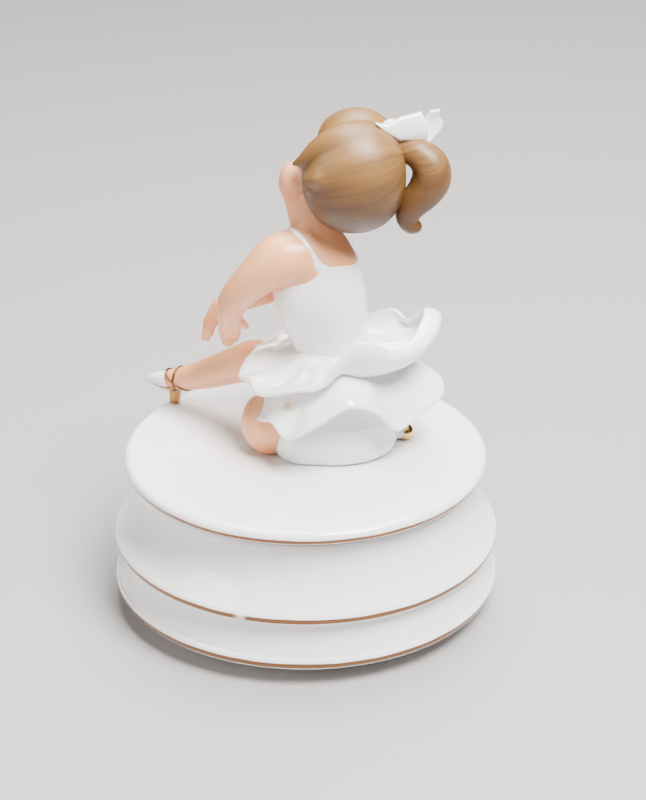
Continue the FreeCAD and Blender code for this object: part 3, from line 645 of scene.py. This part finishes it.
@dataclass
class Torso:
    """Bodice, shoulders, neck and arms."""

    step: float = 0.42
    fine_step: float = 0.24
    trunk: Stations = (
        (on_lid(9.4, 0.0, 28.0), 10.6),
        (on_lid(8.4, 0.0, 34.5), 10.7),
        (on_lid(6.4, 0.0, 43.2), 12.3),
        (on_lid(4.4, 0.0, 52.0), 13.6),
        (on_lid(4.0, 0.0, 59.0), 12.4),
        (on_lid(4.2, 0.2, 63.0), 10.2),
    )
    near_arm: Stations = (
        (on_lid(-1.5, -4.2, 65.6), 7.4),
        (on_lid(-7.2, -5.2, 65.2), 7.5),
        (on_lid(-12.4, -5.5, 61.0), 6.4),
        (on_lid(-17.0, -4.5, 56.4), 5.4),
        (on_lid(-21.2, -2.0, 50.4), 4.7),
        (on_lid(-22.7, 1.0, 44.0), 3.7),
        (on_lid(-22.7, 2.2, 40.5), 3.2),
    )
    far_arm: Stations = (
        (on_lid(2.0, 6.2, 64.0), 6.0),
        (on_lid(-3.0, 10.6, 57.0), 5.2),
        (on_lid(-9.0, 12.0, 49.3), 4.4),
        (on_lid(-17.4, 11.6, 45.4), 3.6),
        (on_lid(-25.4, 10.9, 43.2), 2.9),
    )
    near_fingers: tuple[Finger, ...] = (
        (-24.9, -24.6, 34.1),
        (-23.4, -23.6, 33.3),
        (-21.9, -22.3, 33.7),
        (-20.7, -20.9, 35.2),
    )
    far_fingers: tuple[Finger, ...] = (
        (-29.9, -31.2, 31.7),
        (-28.8, -30.1, 31.5),
        (-27.8, -28.9, 33.2),
    )
    edge_angles: tuple[float, ...] = (
        *(-180, -155, -143, -128, -114, -103, -95, -83, -71, -59, -40),
        *(-20, 0, 15, 28, 40, 60, 90, 120, 148, 180),
    )
    edge_heights: tuple[float, ...] = (
        *(58, 57, 58.7, 60.4, 62.7, 64.9, 66.2, 65.6, 64.1, 63.7, 63.4),
        *(62.8, 63.2, 64.5, 65.8, 64, 60.5, 57, 57.5, 60, 58),
    )

    def core(self) -> Shape:
        """Returns: trunk and neck."""
        neck = Form.cone(on_lid(3.0, 0.6, 66.0), on_lid(2.0, 1.8, 81.0), 6.4, 5.6)
        return Form.join([Form.limb(self.trunk, 0.78), neck], 5.0)

    def hands(self) -> Shape:
        """Returns: both hands with their fingers."""
        parts = [Form.cone(on_lid(-22.7, 1.6, 42.0), on_lid(-22.7, 2.7, 38.6), 3.4, 3.2, 0.75)]
        for x, tip, low in self.near_fingers:
            parts.append(Form.cone(on_lid(x, 2.9, 38.4), on_lid(tip, 3.6, low), 1.35, 0.85))
        parts.append(Form.cone(on_lid(-20.4, 1.8, 42.8), on_lid(-17.9, 2.2, 40.0), 1.5, 1.0))
        parts.append(Form.cone(on_lid(-26.2, 10.9, 42.6), on_lid(-28.5, 11.0, 38.2), 2.7, 2.3, 0.75))
        for x, tip, low in self.far_fingers:
            parts.append(Form.cone(on_lid(x, 11.0, 38.2), on_lid(tip, 11.6, low), 1.15, 0.75))
        return Form.join(parts, 0.45)

    def skin(self) -> Shape:
        """Returns: everything bare above the waist, without the head."""
        arms = Form.join([Form.limb(self.near_arm), Form.limb(self.far_arm)], 0.5)
        return Form.join([self.core(), arms], 2.6)

    def neckline(self) -> Shape:
        """Returns: below zero under the bodice's top edge."""

        def shape(p: np.ndarray) -> np.ndarray:
            turn = np.degrees(np.arctan2(p[..., 1], p[..., 0] - 4.0))
            return (p[..., 2] - LID_TOP - np.interp(turn, self.edge_angles, self.edge_heights)) * 0.8

        return shape

    def build(self, skin: bpy.types.Material, glaze: bpy.types.Material) -> None:
        """Args: skin and glaze materials."""
        bare, core = self.skin(), self.core()
        strap = Form.limb(
            [
                (on_lid(4.0, -9.8, 64.4), 1.2),
                (on_lid(2.6, -9.4, 67.4), 1.0),
                (on_lid(0.6, -8.2, 70.6), 1.0),
                (on_lid(-2.0, -5.8, 73.0), 1.0),
                (on_lid(-4.4, -1.0, 72.6), 1.0),
            ]
        )
        cover = Form.join([Form.meet(core, self.neckline(), 0.6), strap], 1.8)
        over = Form.meet(lambda p: bare(p) - 0.2, cover, 0.5)
        trunk = Form.meet(lambda p: core(p) - 0.2, self.neckline(), 0.6)
        low, high = (-13.0, -13.0, LID_TOP + 27.0), (23.0, 13.5, LID_TOP + 77.0)
        bodice = Form.mesh("bodice", Form.join([trunk, over], 0.3), low, high, self.step)
        Piece.dress(bodice, glaze, Slot.GLAZE, ("leotard",))

        def bared(p: np.ndarray) -> np.ndarray:
            outer = (p[..., 0] < -11.0) | (p[..., 1] > 8.0)
            return LID_TOP + 52.0 - p[..., 2] - 28.0 * outer

        low, high = (-36.0, -15.0, LID_TOP + 28.0), (20.0, 20.0, LID_TOP + 86.0)
        arms = Form.mesh("arms_and_shoulders", Form.meet(bare, bared, 0.3), low, high, self.step)
        Piece.dress(arms, skin, Slot.SKIN, ("shoulders", "near_arm", "far_arm"))
        low, high = (-35.0, -3.0, LID_TOP + 28.5), (-14.5, 15.0, LID_TOP + 47.5)
        hands = Form.mesh("hands", self.hands(), low, high, self.fine_step)
        Piece.dress(hands, skin, Slot.SKIN)


@dataclass
class Head:
    """Head with a calm, plain face on the far side, hair, ponytail and bow."""

    step: float = 0.42
    skull: Point = on_lid(11.0, 2.0, 90.5)
    forward: Point = (-0.58, 0.78, 0.2)
    parting: tuple = (
        (-12.0, -3.1, -0.7, 1.4, 4.7, 7.6, 11.2, 16.2, 20.2, 27.0, 36.0),
        (84.0, 93.3, 96.0, 98.3, 101.0, 103.2, 105.1, 106.2, 105.7, 103.5, 100.0),
    )
    forelock: Stations = (
        (on_lid(7.0, -5.0, 101.0), 2.6),
        (on_lid(1.0, -5.0, 96.4), 2.0),
        (on_lid(-3.0, -3.6, 94.2), 0.6),
    )
    side_lock: Stations = (
        (on_lid(4.0, -13.2, 93.0), 2.2),
        (on_lid(0.8, -11.8, 91.6), 1.3),
        (on_lid(1.4, -12.2, 89.6), 0.8),
    )
    tail: Stations = (
        (on_lid(28.6, -1.4, 97.0), 3.2),
        (on_lid(32.8, -2.2, 96.8), 4.2),
        (on_lid(36.6, -2.8, 93.6), 5.3),
        (on_lid(37.3, -3.2, 89.4), 5.7),
        (on_lid(35.3, -3.7, 85.4), 5.2),
        (on_lid(31.6, -4.2, 81.4), 4.4),
        (on_lid(30.3, -4.6, 77.8), 3.3),
        (on_lid(31.4, -5.0, 75.4), 2.5),
        (on_lid(32.8, -5.0, 75.0), 1.9),
    )
    bow_front: tuple[tuple[float, float], ...] = (
        *((20.4, 107.2), (24.0, 106.2), (27.8, 107.9), (34.2, 108.9), (36.4, 104.2)),
        *((36.0, 99.2), (32.3, 100.5), (27.8, 101.2), (24.0, 103.9)),
    )
    bow_rear: tuple[tuple[float, float], ...] = (
        *((31.0, 104.6), (34.8, 105.4), (36.8, 108.2), (39.9, 108.6), (39.5, 106.0)),
        *((40.8, 104.2), (40.4, 102.2), (36.4, 98.4), (31.0, 100.2)),
    )

    def axes(self) -> tuple[np.ndarray, np.ndarray, np.ndarray]:
        """Returns: the face's forward, side and up directions."""
        ahead = np.array(self.forward) / np.linalg.norm(self.forward)
        side = np.cross((0, 0, 1.0), ahead)
        side /= np.linalg.norm(side)
        return ahead, side, np.cross(ahead, side)

    def spot(self, ahead: float, side: float, up: float) -> Point:
        """Args: offsets from the skull's middle along the face's axes. Returns: the point."""
        f, s, u = self.axes()
        return tuple(np.array(self.skull) + ahead * f + side * s + up * u)

    def face(self) -> Shape:
        """Returns: the bare head."""
        parts = [
            Form.ball(self.skull, 11.5),
            Form.ball(self.spot(5.0, 0.0, -2.0), 9.2),
            Form.ball(on_lid(-2.5, 4.0, 86.6), (4.6, 5.0, 5.6)),
            Form.ball(self.spot(8.4, -8.4, -4.6), 4.9),
            Form.cone(on_lid(-2.2, 4.0, 84.5), on_lid(0.3, 2.6, 74.0), 4.4, 4.7),
            Form.ball(self.spot(9.6, 3.6, -6.0), 5.2),
            Form.ball(self.spot(9.6, -3.6, -6.0), 5.2),
            Form.ball(self.spot(9.8, 0.0, -9.4), 4.0),
            Form.ball(self.spot(14.2, 0.0, -3.4), 1.4),
        ]
        return Form.join(parts, 3.2)

    def hair(self) -> Shape:
        """Returns: the drawn-back hair with its parting, forelock and side lock."""
        near = Form.ball(on_lid(14.6, -3.6, 90.4), (15.3, 14.0, 16.9), 2.2)
        far = Form.ball(on_lid(15.4, 5.2, 93.3), (13.8, 11.4, 14.6))
        plane = np.array((-0.80, 0.55, -0.245))

        def below(p: np.ndarray) -> np.ndarray:
            top = np.interp(p[..., 0], *self.parting)
            return (p[..., 2] - LID_TOP + 0.54 * p[..., 1] - top) * 0.7

        def front(p: np.ndarray) -> np.ndarray:
            q = p - np.array((0, 0, LID_TOP))
            return q @ plane + 25.6

        halves = Form.join([Form.meet(near, below, 1.0), Form.meet(far, front, 1.6)], 0.6)
        lock = Form.limb(self.side_lock)
        return Form.join([halves, Form.meet(Form.limb(self.forelock), below, 0.6), lock], 2.4)

    def build(self, skin: bpy.types.Material, hair: bpy.types.Material, glaze: bpy.types.Material) -> None:
        """Args: skin, hair and glaze materials."""
        low, high = (-12.0, -20.0, LID_TOP + 70.0), (34.0, 20.0, LID_TOP + 111.5)
        head = Form.mesh("head_form", self.face(), low, high, self.step)
        Piece.dress(head, skin, Slot.SKIN, ("head",))
        cap = Form.mesh("hair_form", self.hair(), low, high, self.step)
        Piece.dress(cap, hair, Slot.HAIR, ("hair_cap",))
        low, high = (18.0, -13.0, LID_TOP + 68.0), (46.0, 8.0, LID_TOP + 105.0)
        pony = Form.mesh("ponytail_form", Form.limb(self.tail), low, high, self.step)
        Piece.dress(pony, hair, Slot.HAIR, ("ponytail",))
        self.bow(glaze)
        self.features()

    def bow(self, glaze: bpy.types.Material) -> None:
        """Args: glaze material."""
        ribbon = Form.join(
            [
                Form.plate(self.bow_front, -5.4, 0.27, 0.9, 1.0),
                Form.plate(self.bow_rear, 2.2, 0.16, -0.8, 0.9),
                Form.ball(on_lid(25.6, 0.8, 103.6), (3.0, 3.0, 2.6)),
            ],
            0.9,
        )
        low, high = (16.0, -9.0, LID_TOP + 94.0), (45.0, 14.0, LID_TOP + 112.0)
        made = Form.mesh("bow_form", ribbon, low, high, 0.3)
        Piece.dress(made, glaze, Slot.GLAZE, ("bow",))

    def features(self) -> None:
        """Paints closed eyes, brows and a small mouth on the hidden side."""
        lash = Paint("lash_paint", (0.10, 0.05, 0.03)).build()
        lip = Paint("lip_paint", (0.55, 0.14, 0.10)).build()
        face = self.face()
        ahead = self.axes()[0]

        def on_face(side: float, up: float) -> np.ndarray:
            start = np.array(self.spot(0.0, side, up))
            reach = np.linspace(6.0, 24.0, 400)
            line = start + reach[:, None] * ahead
            values = face(line)
            return line[int(np.argmax(values > 0.0))]

        for sign, word in ((1, "left"), (-1, "right")):
            sweep = np.linspace(-1, 1, 13)
            eye = np.array([on_face(sign * (3.7 + a * 1.7), -2.8 - 0.7 * (1 - a * a)) for a in sweep])
            Piece.dress(tube("lashes_" + word, eye, 0.28, False), lash, Slot.SKIN)
            sweep = np.linspace(-1, 1, 11)
            brow = np.array([on_face(sign * (3.7 + a * 1.8), 0.4 - 0.6 * a * a) for a in sweep])
            Piece.dress(tube("brow_" + word, brow, 0.22, False), lash, Slot.SKIN)
        mouth = np.array([on_face(a * 1.7, -7.4 + 0.35 * a * a) for a in np.linspace(-1, 1, 11)])
        Piece.dress(tube("mouth", mouth, 0.42, False), lip, Slot.SKIN)


@dataclass
class Legs:
    """Both legs, slippers, gilt and ribbons."""

    step: float = 0.42
    shin: Stations = (
        (on_lid(2.0, 6.0, 17.0), 6.6),
        (on_lid(-6.0, 9.6, 20.6), 6.4),
        (on_lid(-14.6, 13.2, 23.4), 6.3),
        (on_lid(-20.2, 17.0, 20.5), 5.9),
        (on_lid(-30.2, 24.0, 14.2), 4.9),
        (on_lid(-37.9, 28.5, 10.4), 3.8),
        (on_lid(-42.2, 30.5, 9.2), 3.2),
    )
    sole: Stations = (
        (on_lid(-41.6, 30.4, 8.8), 3.25),
        (on_lid(-44.4, 31.9, 8.2), 2.8),
        (on_lid(-47.2, 33.2, 8.0), 2.1),
        (on_lid(-50.0, 34.5, 7.6), 0.9),
    )

    @staticmethod
    def above_lid(p: np.ndarray) -> np.ndarray:
        """Args: p. Returns: below zero above the lid's top."""
        return LID_TOP - p[..., 2]

    def build(self, skin: bpy.types.Material, glaze: bpy.types.Material, gilt: bpy.types.Material) -> None:
        """Args: skin, glaze and gilt materials."""
        low, high = (-46, 1, LID_TOP + 2), (5, 36, LID_TOP + 32)
        leg = Form.mesh("straight_leg_form", Form.limb(self.shin), low, high, self.step)
        Piece.dress(leg, skin, Slot.SKIN, ("straight_leg",))
        thigh = Form.cone(on_lid(-9.5, -2.6, 10.0), on_lid(4.0, -1.0, 12.0), 8.4, 9.8)
        knee = Form.join([Form.ball(on_lid(-10.8, -2.6, 9.8), (8.9, 8.6, 10.2)), thigh], 1.5)
        low, high = (-22, -14, LID_TOP - 1), (8, 12, LID_TOP + 23.5)
        made = Form.mesh("bent_leg_form", Form.meet(knee, self.above_lid, 0.6), low, high, self.step)
        Piece.dress(made, skin, Slot.SKIN, ("bent_leg",))
        self.seat(glaze)
        self.slippers(glaze, gilt)

    def seat(self, glaze: bpy.types.Material) -> None:
        """Args: glaze material of the seat under the skirt."""
        heights = (0.0, 1.2, 4.0, 12.0, 22.0, 30.0, 35.0)
        widths = (17.0, 18.6, 19.6, 18.5, 14.5, 11.5, 8.0)

        def mound(p: np.ndarray) -> np.ndarray:
            reach = np.interp(p[..., 2] - LID_TOP, heights, widths)
            return (np.hypot(p[..., 0] - 9.0, p[..., 1] / 0.78) - reach) * 0.7

        fold = Form.ball(on_lid(-0.8, -6.2, 6.5), (8.8, 8.0, 9.5))
        whole = Form.meet(Form.join([mound, fold], 3.0), self.above_lid, 0.5)
        made = Form.mesh("skirt_seat", whole, (-14, -19, LID_TOP - 1), (31, 18, LID_TOP + 36), 0.5)
        Piece.dress(made, glaze, Slot.GLAZE, ("hips",))

    def slippers(self, glaze: bpy.types.Material, gilt: bpy.types.Material) -> None:
        """Args: glaze and gilt materials."""
        foot = Form.limb(self.sole)

        def toe(p: np.ndarray) -> np.ndarray:
            return (p - np.array(on_lid(-43.4, 31.4, 8.6))) @ np.array((0.86, -0.40, 0.30))

        def quarter(p: np.ndarray) -> np.ndarray:
            return (p - np.array(on_lid(-42.0, 31.0, 8.0))) @ np.array((-0.25, -0.05, 0.97))

        vamp = Form.meet(lambda p: foot(p) - 0.15, toe, 0.5)
        shoe = Form.join([vamp, Form.meet(foot, quarter, 0.4)], 0.5)
        low, high = (-53, 24, LID_TOP - 0.5), (-34, 40, LID_TOP + 16)
        made = Form.mesh("straight_slipper_form", shoe, low, high, 0.3)
        Piece.dress(made, glaze, Slot.GLAZE, ("straight_slipper",))

        def under(p: np.ndarray) -> np.ndarray:
            return (p - np.array(on_lid(-44.5, 32.0, 7.3))) @ np.array((-0.12, 0.0, 0.99))

        sole = Form.meet(lambda p: foot(p) - 0.3, under, 0.4)
        peg = Form.cone(on_lid(-42.0, 32.1, 1.0), on_lid(-41.7, 31.9, 5.0), 1.7, 2.1)
        heel = Form.meet(peg, self.above_lid, 0.3)
        made = Form.mesh("gilt_heel", Form.join([sole, heel], 0.8), low, high, 0.3)
        bronze = Gilding("sole_gilt", (0.50, 0.27, 0.09), 0.2).build()
        Piece.dress(made, bronze, Slot.GILT, ("straight_sole",))
        tip = Form.ball(on_lid(31.2, 4.9, 2.6), 2.6)
        made = Form.mesh("gilt_toe", tip, (27, 0, LID_TOP - 1), (35, 9, LID_TOP + 7), 0.25)
        Piece.dress(made, gilt, Slot.GILT, ("bent_sole",))
        tucked = Form.cone(on_lid(20.0, 3.0, 4.6), on_lid(29.4, 4.6, 3.1), 3.8, 2.5)
        made = Form.mesh("bent_slipper_form", tucked, (14, -3, LID_TOP - 1), (34, 11, LID_TOP + 11), 0.35)
        Piece.dress(made, glaze, Slot.GLAZE, ("bent_slipper",))
        self.ribbons(Gilding("ribbon_gilt", (0.22, 0.09, 0.045), 0.32).build())

    def ribbons(self, paint: bpy.types.Material) -> None:
        """Args: paint of the crossed ankle ribbons."""
        leg = Form.join([Form.limb(self.shin), Form.limb(self.sole)], 0.5)
        centre = np.array(on_lid(-40.2, 29.8, 9.4))
        ahead = np.array((-0.79, 0.48, -0.39))
        side = np.cross(ahead, (0, 0, 1.0))
        side /= np.linalg.norm(side)
        up = np.cross(side, ahead)
        for k, lean in enumerate((0.85, -0.45)):
            loop = []
            for turn in np.linspace(0, 2 * np.pi, 72, endpoint=False):
                out = math.cos(turn) * side + math.sin(turn) * up
                base = centre + ahead * (lean * 3.4 * math.sin(turn))
                reach = np.linspace(1.5, 7.0, 240)
                line = base + reach[:, None] * out
                loop.append(line[int(np.argmax(leg(line) > 0.1))])
            Piece.dress(tube(f"ankle_ribbon_{k + 1}", np.array(loop), 0.38, True), paint, Slot.GILT)


@dataclass
class Frill:
    """One hand-formed frill of the skirt."""

    name: str
    node: str
    gather: float
    inner: tuple[float, float]
    rim: tuple[tuple[float, float, float, float], ...]
    sag: float
    dip: float = 0.0
    waist_x: float = 8.3
    thick: float = 1.5
    around: int = 300
    across: int = 30

    def sheet(self) -> np.ndarray:
        """Returns: the middle surface as points[across][around]."""
        control = []
        for degrees, reach, height, belly in self.rim:
            turn = math.radians(degrees)
            x, y = self.waist_x + reach * math.cos(turn), reach * math.sin(turn)
            control.append((x, y, LID_TOP + height, belly))
        edge = spline_loop(np.array(control), self.around)
        belly, edge = edge[:, 3], edge[:, :3]
        turn = np.arctan2(edge[:, 1], edge[:, 0] - self.waist_x)
        out = np.stack([np.cos(turn), np.sin(turn), np.zeros_like(turn)], -1)
        reach = np.hypot(edge[:, 0] - self.waist_x, edge[:, 1])
        start = np.hypot(self.inner[0] * np.cos(turn), self.inner[1] * np.sin(turn))
        axis = np.array((self.waist_x, 0.0, LID_TOP))
        floor = self.gather - self.sag
        rise = np.logaddexp(0.0, (edge[:, 2] - LID_TOP - floor) / 2.0) * 2.0
        lobe = np.exp(-(((np.degrees(turn) + 52.0) / 34.0) ** 2))
        lip = 2.0 * belly - 3.0 * np.clip(1.0 - belly / 2.5, 0.0, 1.0)
        up = np.array((0.0, 0.0, 1.0))
        root = axis + out * start[:, None] + up * self.gather
        inset = start + 0.2 * (reach - start)
        first = axis + out * inset[:, None] + up * (floor - self.dip * lobe)[:, None]
        crest = edge[:, 2] - LID_TOP + 1.2 - (0.62 - 0.06 * belly) * rise
        second = axis + out * (reach + lip)[:, None] + up * crest[:, None]
        v = np.linspace(0, 1, self.across)[:, None, None]
        w = 1 - v
        rows = w**3 * root + 3 * v * w**2 * first + 3 * v**2 * w * second + v**3 * edge
        rows[..., 2] += 0.4 * np.sin(turn * 13 + 2.0 * np.sin(turn * 3)) * np.sin(np.pi * v[..., 0]) ** 1.5
        return rows

    def build(self, glaze: bpy.types.Material) -> None:
        """Args: glaze material."""
        rows = self.sheet()
        du = np.roll(rows, -1, axis=1) - np.roll(rows, 1, axis=1)
        dv = np.gradient(rows, axis=0)
        normal = np.cross(du, dv)
        normal /= np.linalg.norm(normal, axis=-1)[..., None]
        normal *= np.sign(normal[1, :, 2].mean())
        half = self.thick / 2
        out = rows[-1] - rows[-2]
        out /= np.linalg.norm(out, axis=-1)[:, None]
        rings = [r + n * half for r, n in zip(rows, normal)]
        for turn in np.linspace(0, np.pi, 7)[1:-1]:
            rings.append(rows[-1] + half * (math.cos(turn) * normal[-1] + math.sin(turn) * out))
        rings += [r - n * half for r, n in zip(rows[::-1], normal[::-1])]
        points = np.concatenate(rings)
        n, count = self.around, len(rings)
        faces = []
        for i in range(count - 1):
            for k in range(n):
                m = (k + 1) % n
                faces.append((i * n + k, (i + 1) * n + k, (i + 1) * n + m, i * n + m))
        for k in range(n):
            m = (k + 1) % n
            faces.append(((count - 1) * n + k, k, m, (count - 1) * n + m))
        made = Piece.mesh(self.name, points, faces)
        Piece.dress(made, glaze, Slot.GLAZE, (self.node,))


UPPER_RIM = (
    (10.0, 29.0, 43.8, 7.4),
    (27.0, 26.0, 37.5, 3.0),
    (43.0, 25.0, 38.5, 1.0),
    (75.0, 21.0, 33.5, 0.5),
    (110.0, 20.5, 34.0, 0.5),
    (140.0, 22.0, 31.5, 0.5),
    (165.0, 25.5, 28.5, 0.5),
    (184.0, 28.0, 25.3, 0.5),
    (198.0, 26.0, 26.6, 0.5),
    (213.0, 26.0, 25.0, 0.5),
    (240.0, 22.5, 28.5, 0.5),
    (262.0, 21.0, 31.0, 0.8),
    (285.0, 18.5, 41.5, 1.8),
    (305.0, 20.5, 42.0, 2.2),
    (322.0, 23.5, 38.5, 2.5),
    (344.0, 26.0, 40.5, 6.6),
)
LOWER_RIM = (
    (5.0, 34.0, 17.5, 0.6),
    (16.0, 33.5, 20.3, 0.4),
    (35.0, 30.0, 20.5, 0.4),
    (65.0, 24.5, 17.5, 0.4),
    (100.0, 22.5, 18.5, 0.4),
    (135.0, 24.0, 27.5, 0.4),
    (165.0, 23.0, 25.5, 0.4),
    (195.0, 24.0, 14.5, 0.4),
    (221.0, 24.0, 16.5, 0.4),
    (237.0, 25.0, 13.5, 0.4),
    (258.0, 24.5, 19.0, 0.4),
    (282.0, 24.0, 25.0, 0.9),
    (304.0, 24.0, 21.0, 0.9),
    (322.0, 24.5, 13.5, 0.4),
    (343.0, 27.5, 15.5, 0.6),
    (354.0, 31.0, 16.5, 0.6),
)


@dataclass
class Figure:
    """The seated ballerina on the lid."""

    def build(self, glaze: bpy.types.Material) -> None:
        """Args: glaze material."""
        blushes = (
            (on_lid(-20.0, 0.0, 50.0), 9.0),
            (on_lid(-22.6, 3.6, 36.0), 6.0),
            (on_lid(-29.0, 11.0, 37.0), 6.0),
            (on_lid(-9.6, -6.0, 57.0), 6.0),
            (on_lid(-9.0, 9.0, 47.0), 7.0),
            (on_lid(-13.0, -9.0, 3.0), 7.0),
            (on_lid(-5.0, -3.0, 83.0), 5.0),
            (on_lid(-13.5, 12.0, 25.0), 8.0),
        )
        skin = Skin("skin_paint", blushes=blushes).build()
        hair = HairPaint("hair_paint", on_lid(29.0, -2.0, 96.0), (-0.95, -0.05, -0.25)).build()
        gilt = Gilding("slipper_gilt").build()
        Torso().build(skin, glaze)
        Head().build(skin, hair, glaze)
        Legs().build(skin, glaze, gilt)
        # The lower frill's glaze carries one brown spot, painted shadow of a small hole between the
        # frills; the mesh has no hole there.
        hole_shade_glaze = Glaze("painted_hole_shade_glaze", bare=((on_lid(-4.9, -15.8, 21.6), 3.2),)).build()
        Frill("upper_frill", "tutu_upper", 37.0, (9.2, 7.0), UPPER_RIM, 9.5, 7.0).build(glaze)
        Frill("lower_frill", "tutu_lower", 33.0, (11.2, 9.4), LOWER_RIM, 0.5).build(hole_shade_glaze)


@dataclass
class Casework:
    """Finishes of the CAD nodes: porcelain, felt and the movement."""

    lid_line: tuple[float, float, float] = (47.1, 0.75, 0.22)
    mid_line: tuple[float, float, float] = (22.6, 0.85, 0.36)
    low_line: tuple[float, float, float] = (7.6, 0.9, 0.3)

    def build(
        self, nodes: dict[str, bpy.types.Object], slots: dict[str, str], glaze: bpy.types.Material
    ) -> None:
        """Args: CAD nodes, the slot of each, plain glaze."""
        finishes = {
            Slot.GLAZE.value: glaze,
            Slot.BRASS.value: Metal("movement_brass", (0.70, 0.50, 0.20)).build(),
            Slot.STEEL.value: Metal("movement_steel", (0.56, 0.56, 0.57), 0.26).build(),
            Slot.FELT.value: Felt("red_felt").build(),
            Slot.CLEAR.value: ClearPlastic("cover_plastic").build(),
        }
        special = {
            "box_shell": Glaze("box_glaze", lines=(self.mid_line, self.low_line)).build(),
            "lid_plate": Glaze("lid_glaze", lines=(self.lid_line,)).build(),
        }
        for name, node in nodes.items():
            material = special.get(name, finishes.get(slots[name]))
            if material is None:
                continue
            node.data.materials.clear()
            node.data.materials.append(material)
            LOG.info("finish %s: %s", name, material.name)


@dataclass
class Studio:
    """Camera, floor and soft light."""

    distance: float = 0.7232
    elevation: float = 26.245
    target: Point = (0.0, 0.0, 0.060)
    roll: float = -0.31
    lens: float = 105.5
    shift: tuple[float, float] = (0.02225, 0.02205)
    floor_colour: Colour = (0.36, 0.34, 0.33)
    floor_half: float = 3000.0
    world_colour: Colour = (0.78, 0.77, 0.76)
    world_strength: float = 0.13

    def camera(self) -> None:
        """Sets up the view of the photo."""
        data = bpy.data.cameras.new("photo_view")
        data.lens = self.lens
        data.sensor_width = 36.0
        data.shift_x, data.shift_y = self.shift
        data.clip_start = 0.01
        made = bpy.data.objects.new("photo_view", data)
        bpy.context.scene.collection.objects.link(made)
        tilt = math.radians(self.elevation)
        made.location = Vector(self.target) + self.distance * Vector((0, -math.cos(tilt), math.sin(tilt)))
        pitch = Matrix.Rotation(math.radians(90.0) - tilt, 3, "X")
        made.rotation_euler = (pitch @ Matrix.Rotation(math.radians(self.roll), 3, "Z")).to_euler()
        bpy.context.scene.camera = made

    def lamp(self, name: str, where: Point, size: float, watts: float, colour: Colour = (1, 1, 1)) -> None:
        """Args: name, where, size, watts, colour of a round soft lamp."""
        data = bpy.data.lights.new(name, "AREA")
        data.shape = "DISK"
        data.size = size
        data.energy = watts
        data.color = colour
        made = bpy.data.objects.new(name, data)
        bpy.context.scene.collection.objects.link(made)
        made.location = where
        made.rotation_euler = (Vector(self.target) - Vector(where)).to_track_quat("-Z", "Y").to_euler()

    def build(self) -> None:
        """Makes the camera, floor and lamps."""
        self.camera()
        points = self.floor_half * np.array([(-1, -1, 0), (1, -1, 0), (1, 1, 0), (-1, 1, 0)], dtype=float)
        floor = Piece.mesh("floor", points, [(0, 1, 2, 3)], False)
        floor.data.materials.append(Paint("floor_paint", self.floor_colour, 0.6).build())
        self.lamp("key_lamp", (0.32, -0.38, 0.95), 0.5, 44.0)
        self.lamp("fill_lamp", (-0.75, -0.45, 0.45), 0.6, 5.0, (1.0, 0.96, 0.93))
        self.lamp("top_lamp", (0.05, 0.35, 0.95), 0.7, 22.0)
        world = bpy.data.worlds.new("studio_world")
        bpy.context.scene.world = world
        world.use_nodes = True
        background = world.node_tree.nodes["Background"]
        background.inputs[0].default_value = (*self.world_colour, 1.0)
        background.inputs[1].default_value = self.world_strength


def main() -> None:
    """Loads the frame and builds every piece."""
    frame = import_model()
    slots = {part["node"]: part["material_slot"] for part in frame["record"]["subparts"]}
    glaze = Glaze("plain_glaze").build()
    Casework().build(frame["nodes"], slots, glaze)
    Figure().build(glaze)
    Studio().build()


if __name__ == "__main__":
    main()
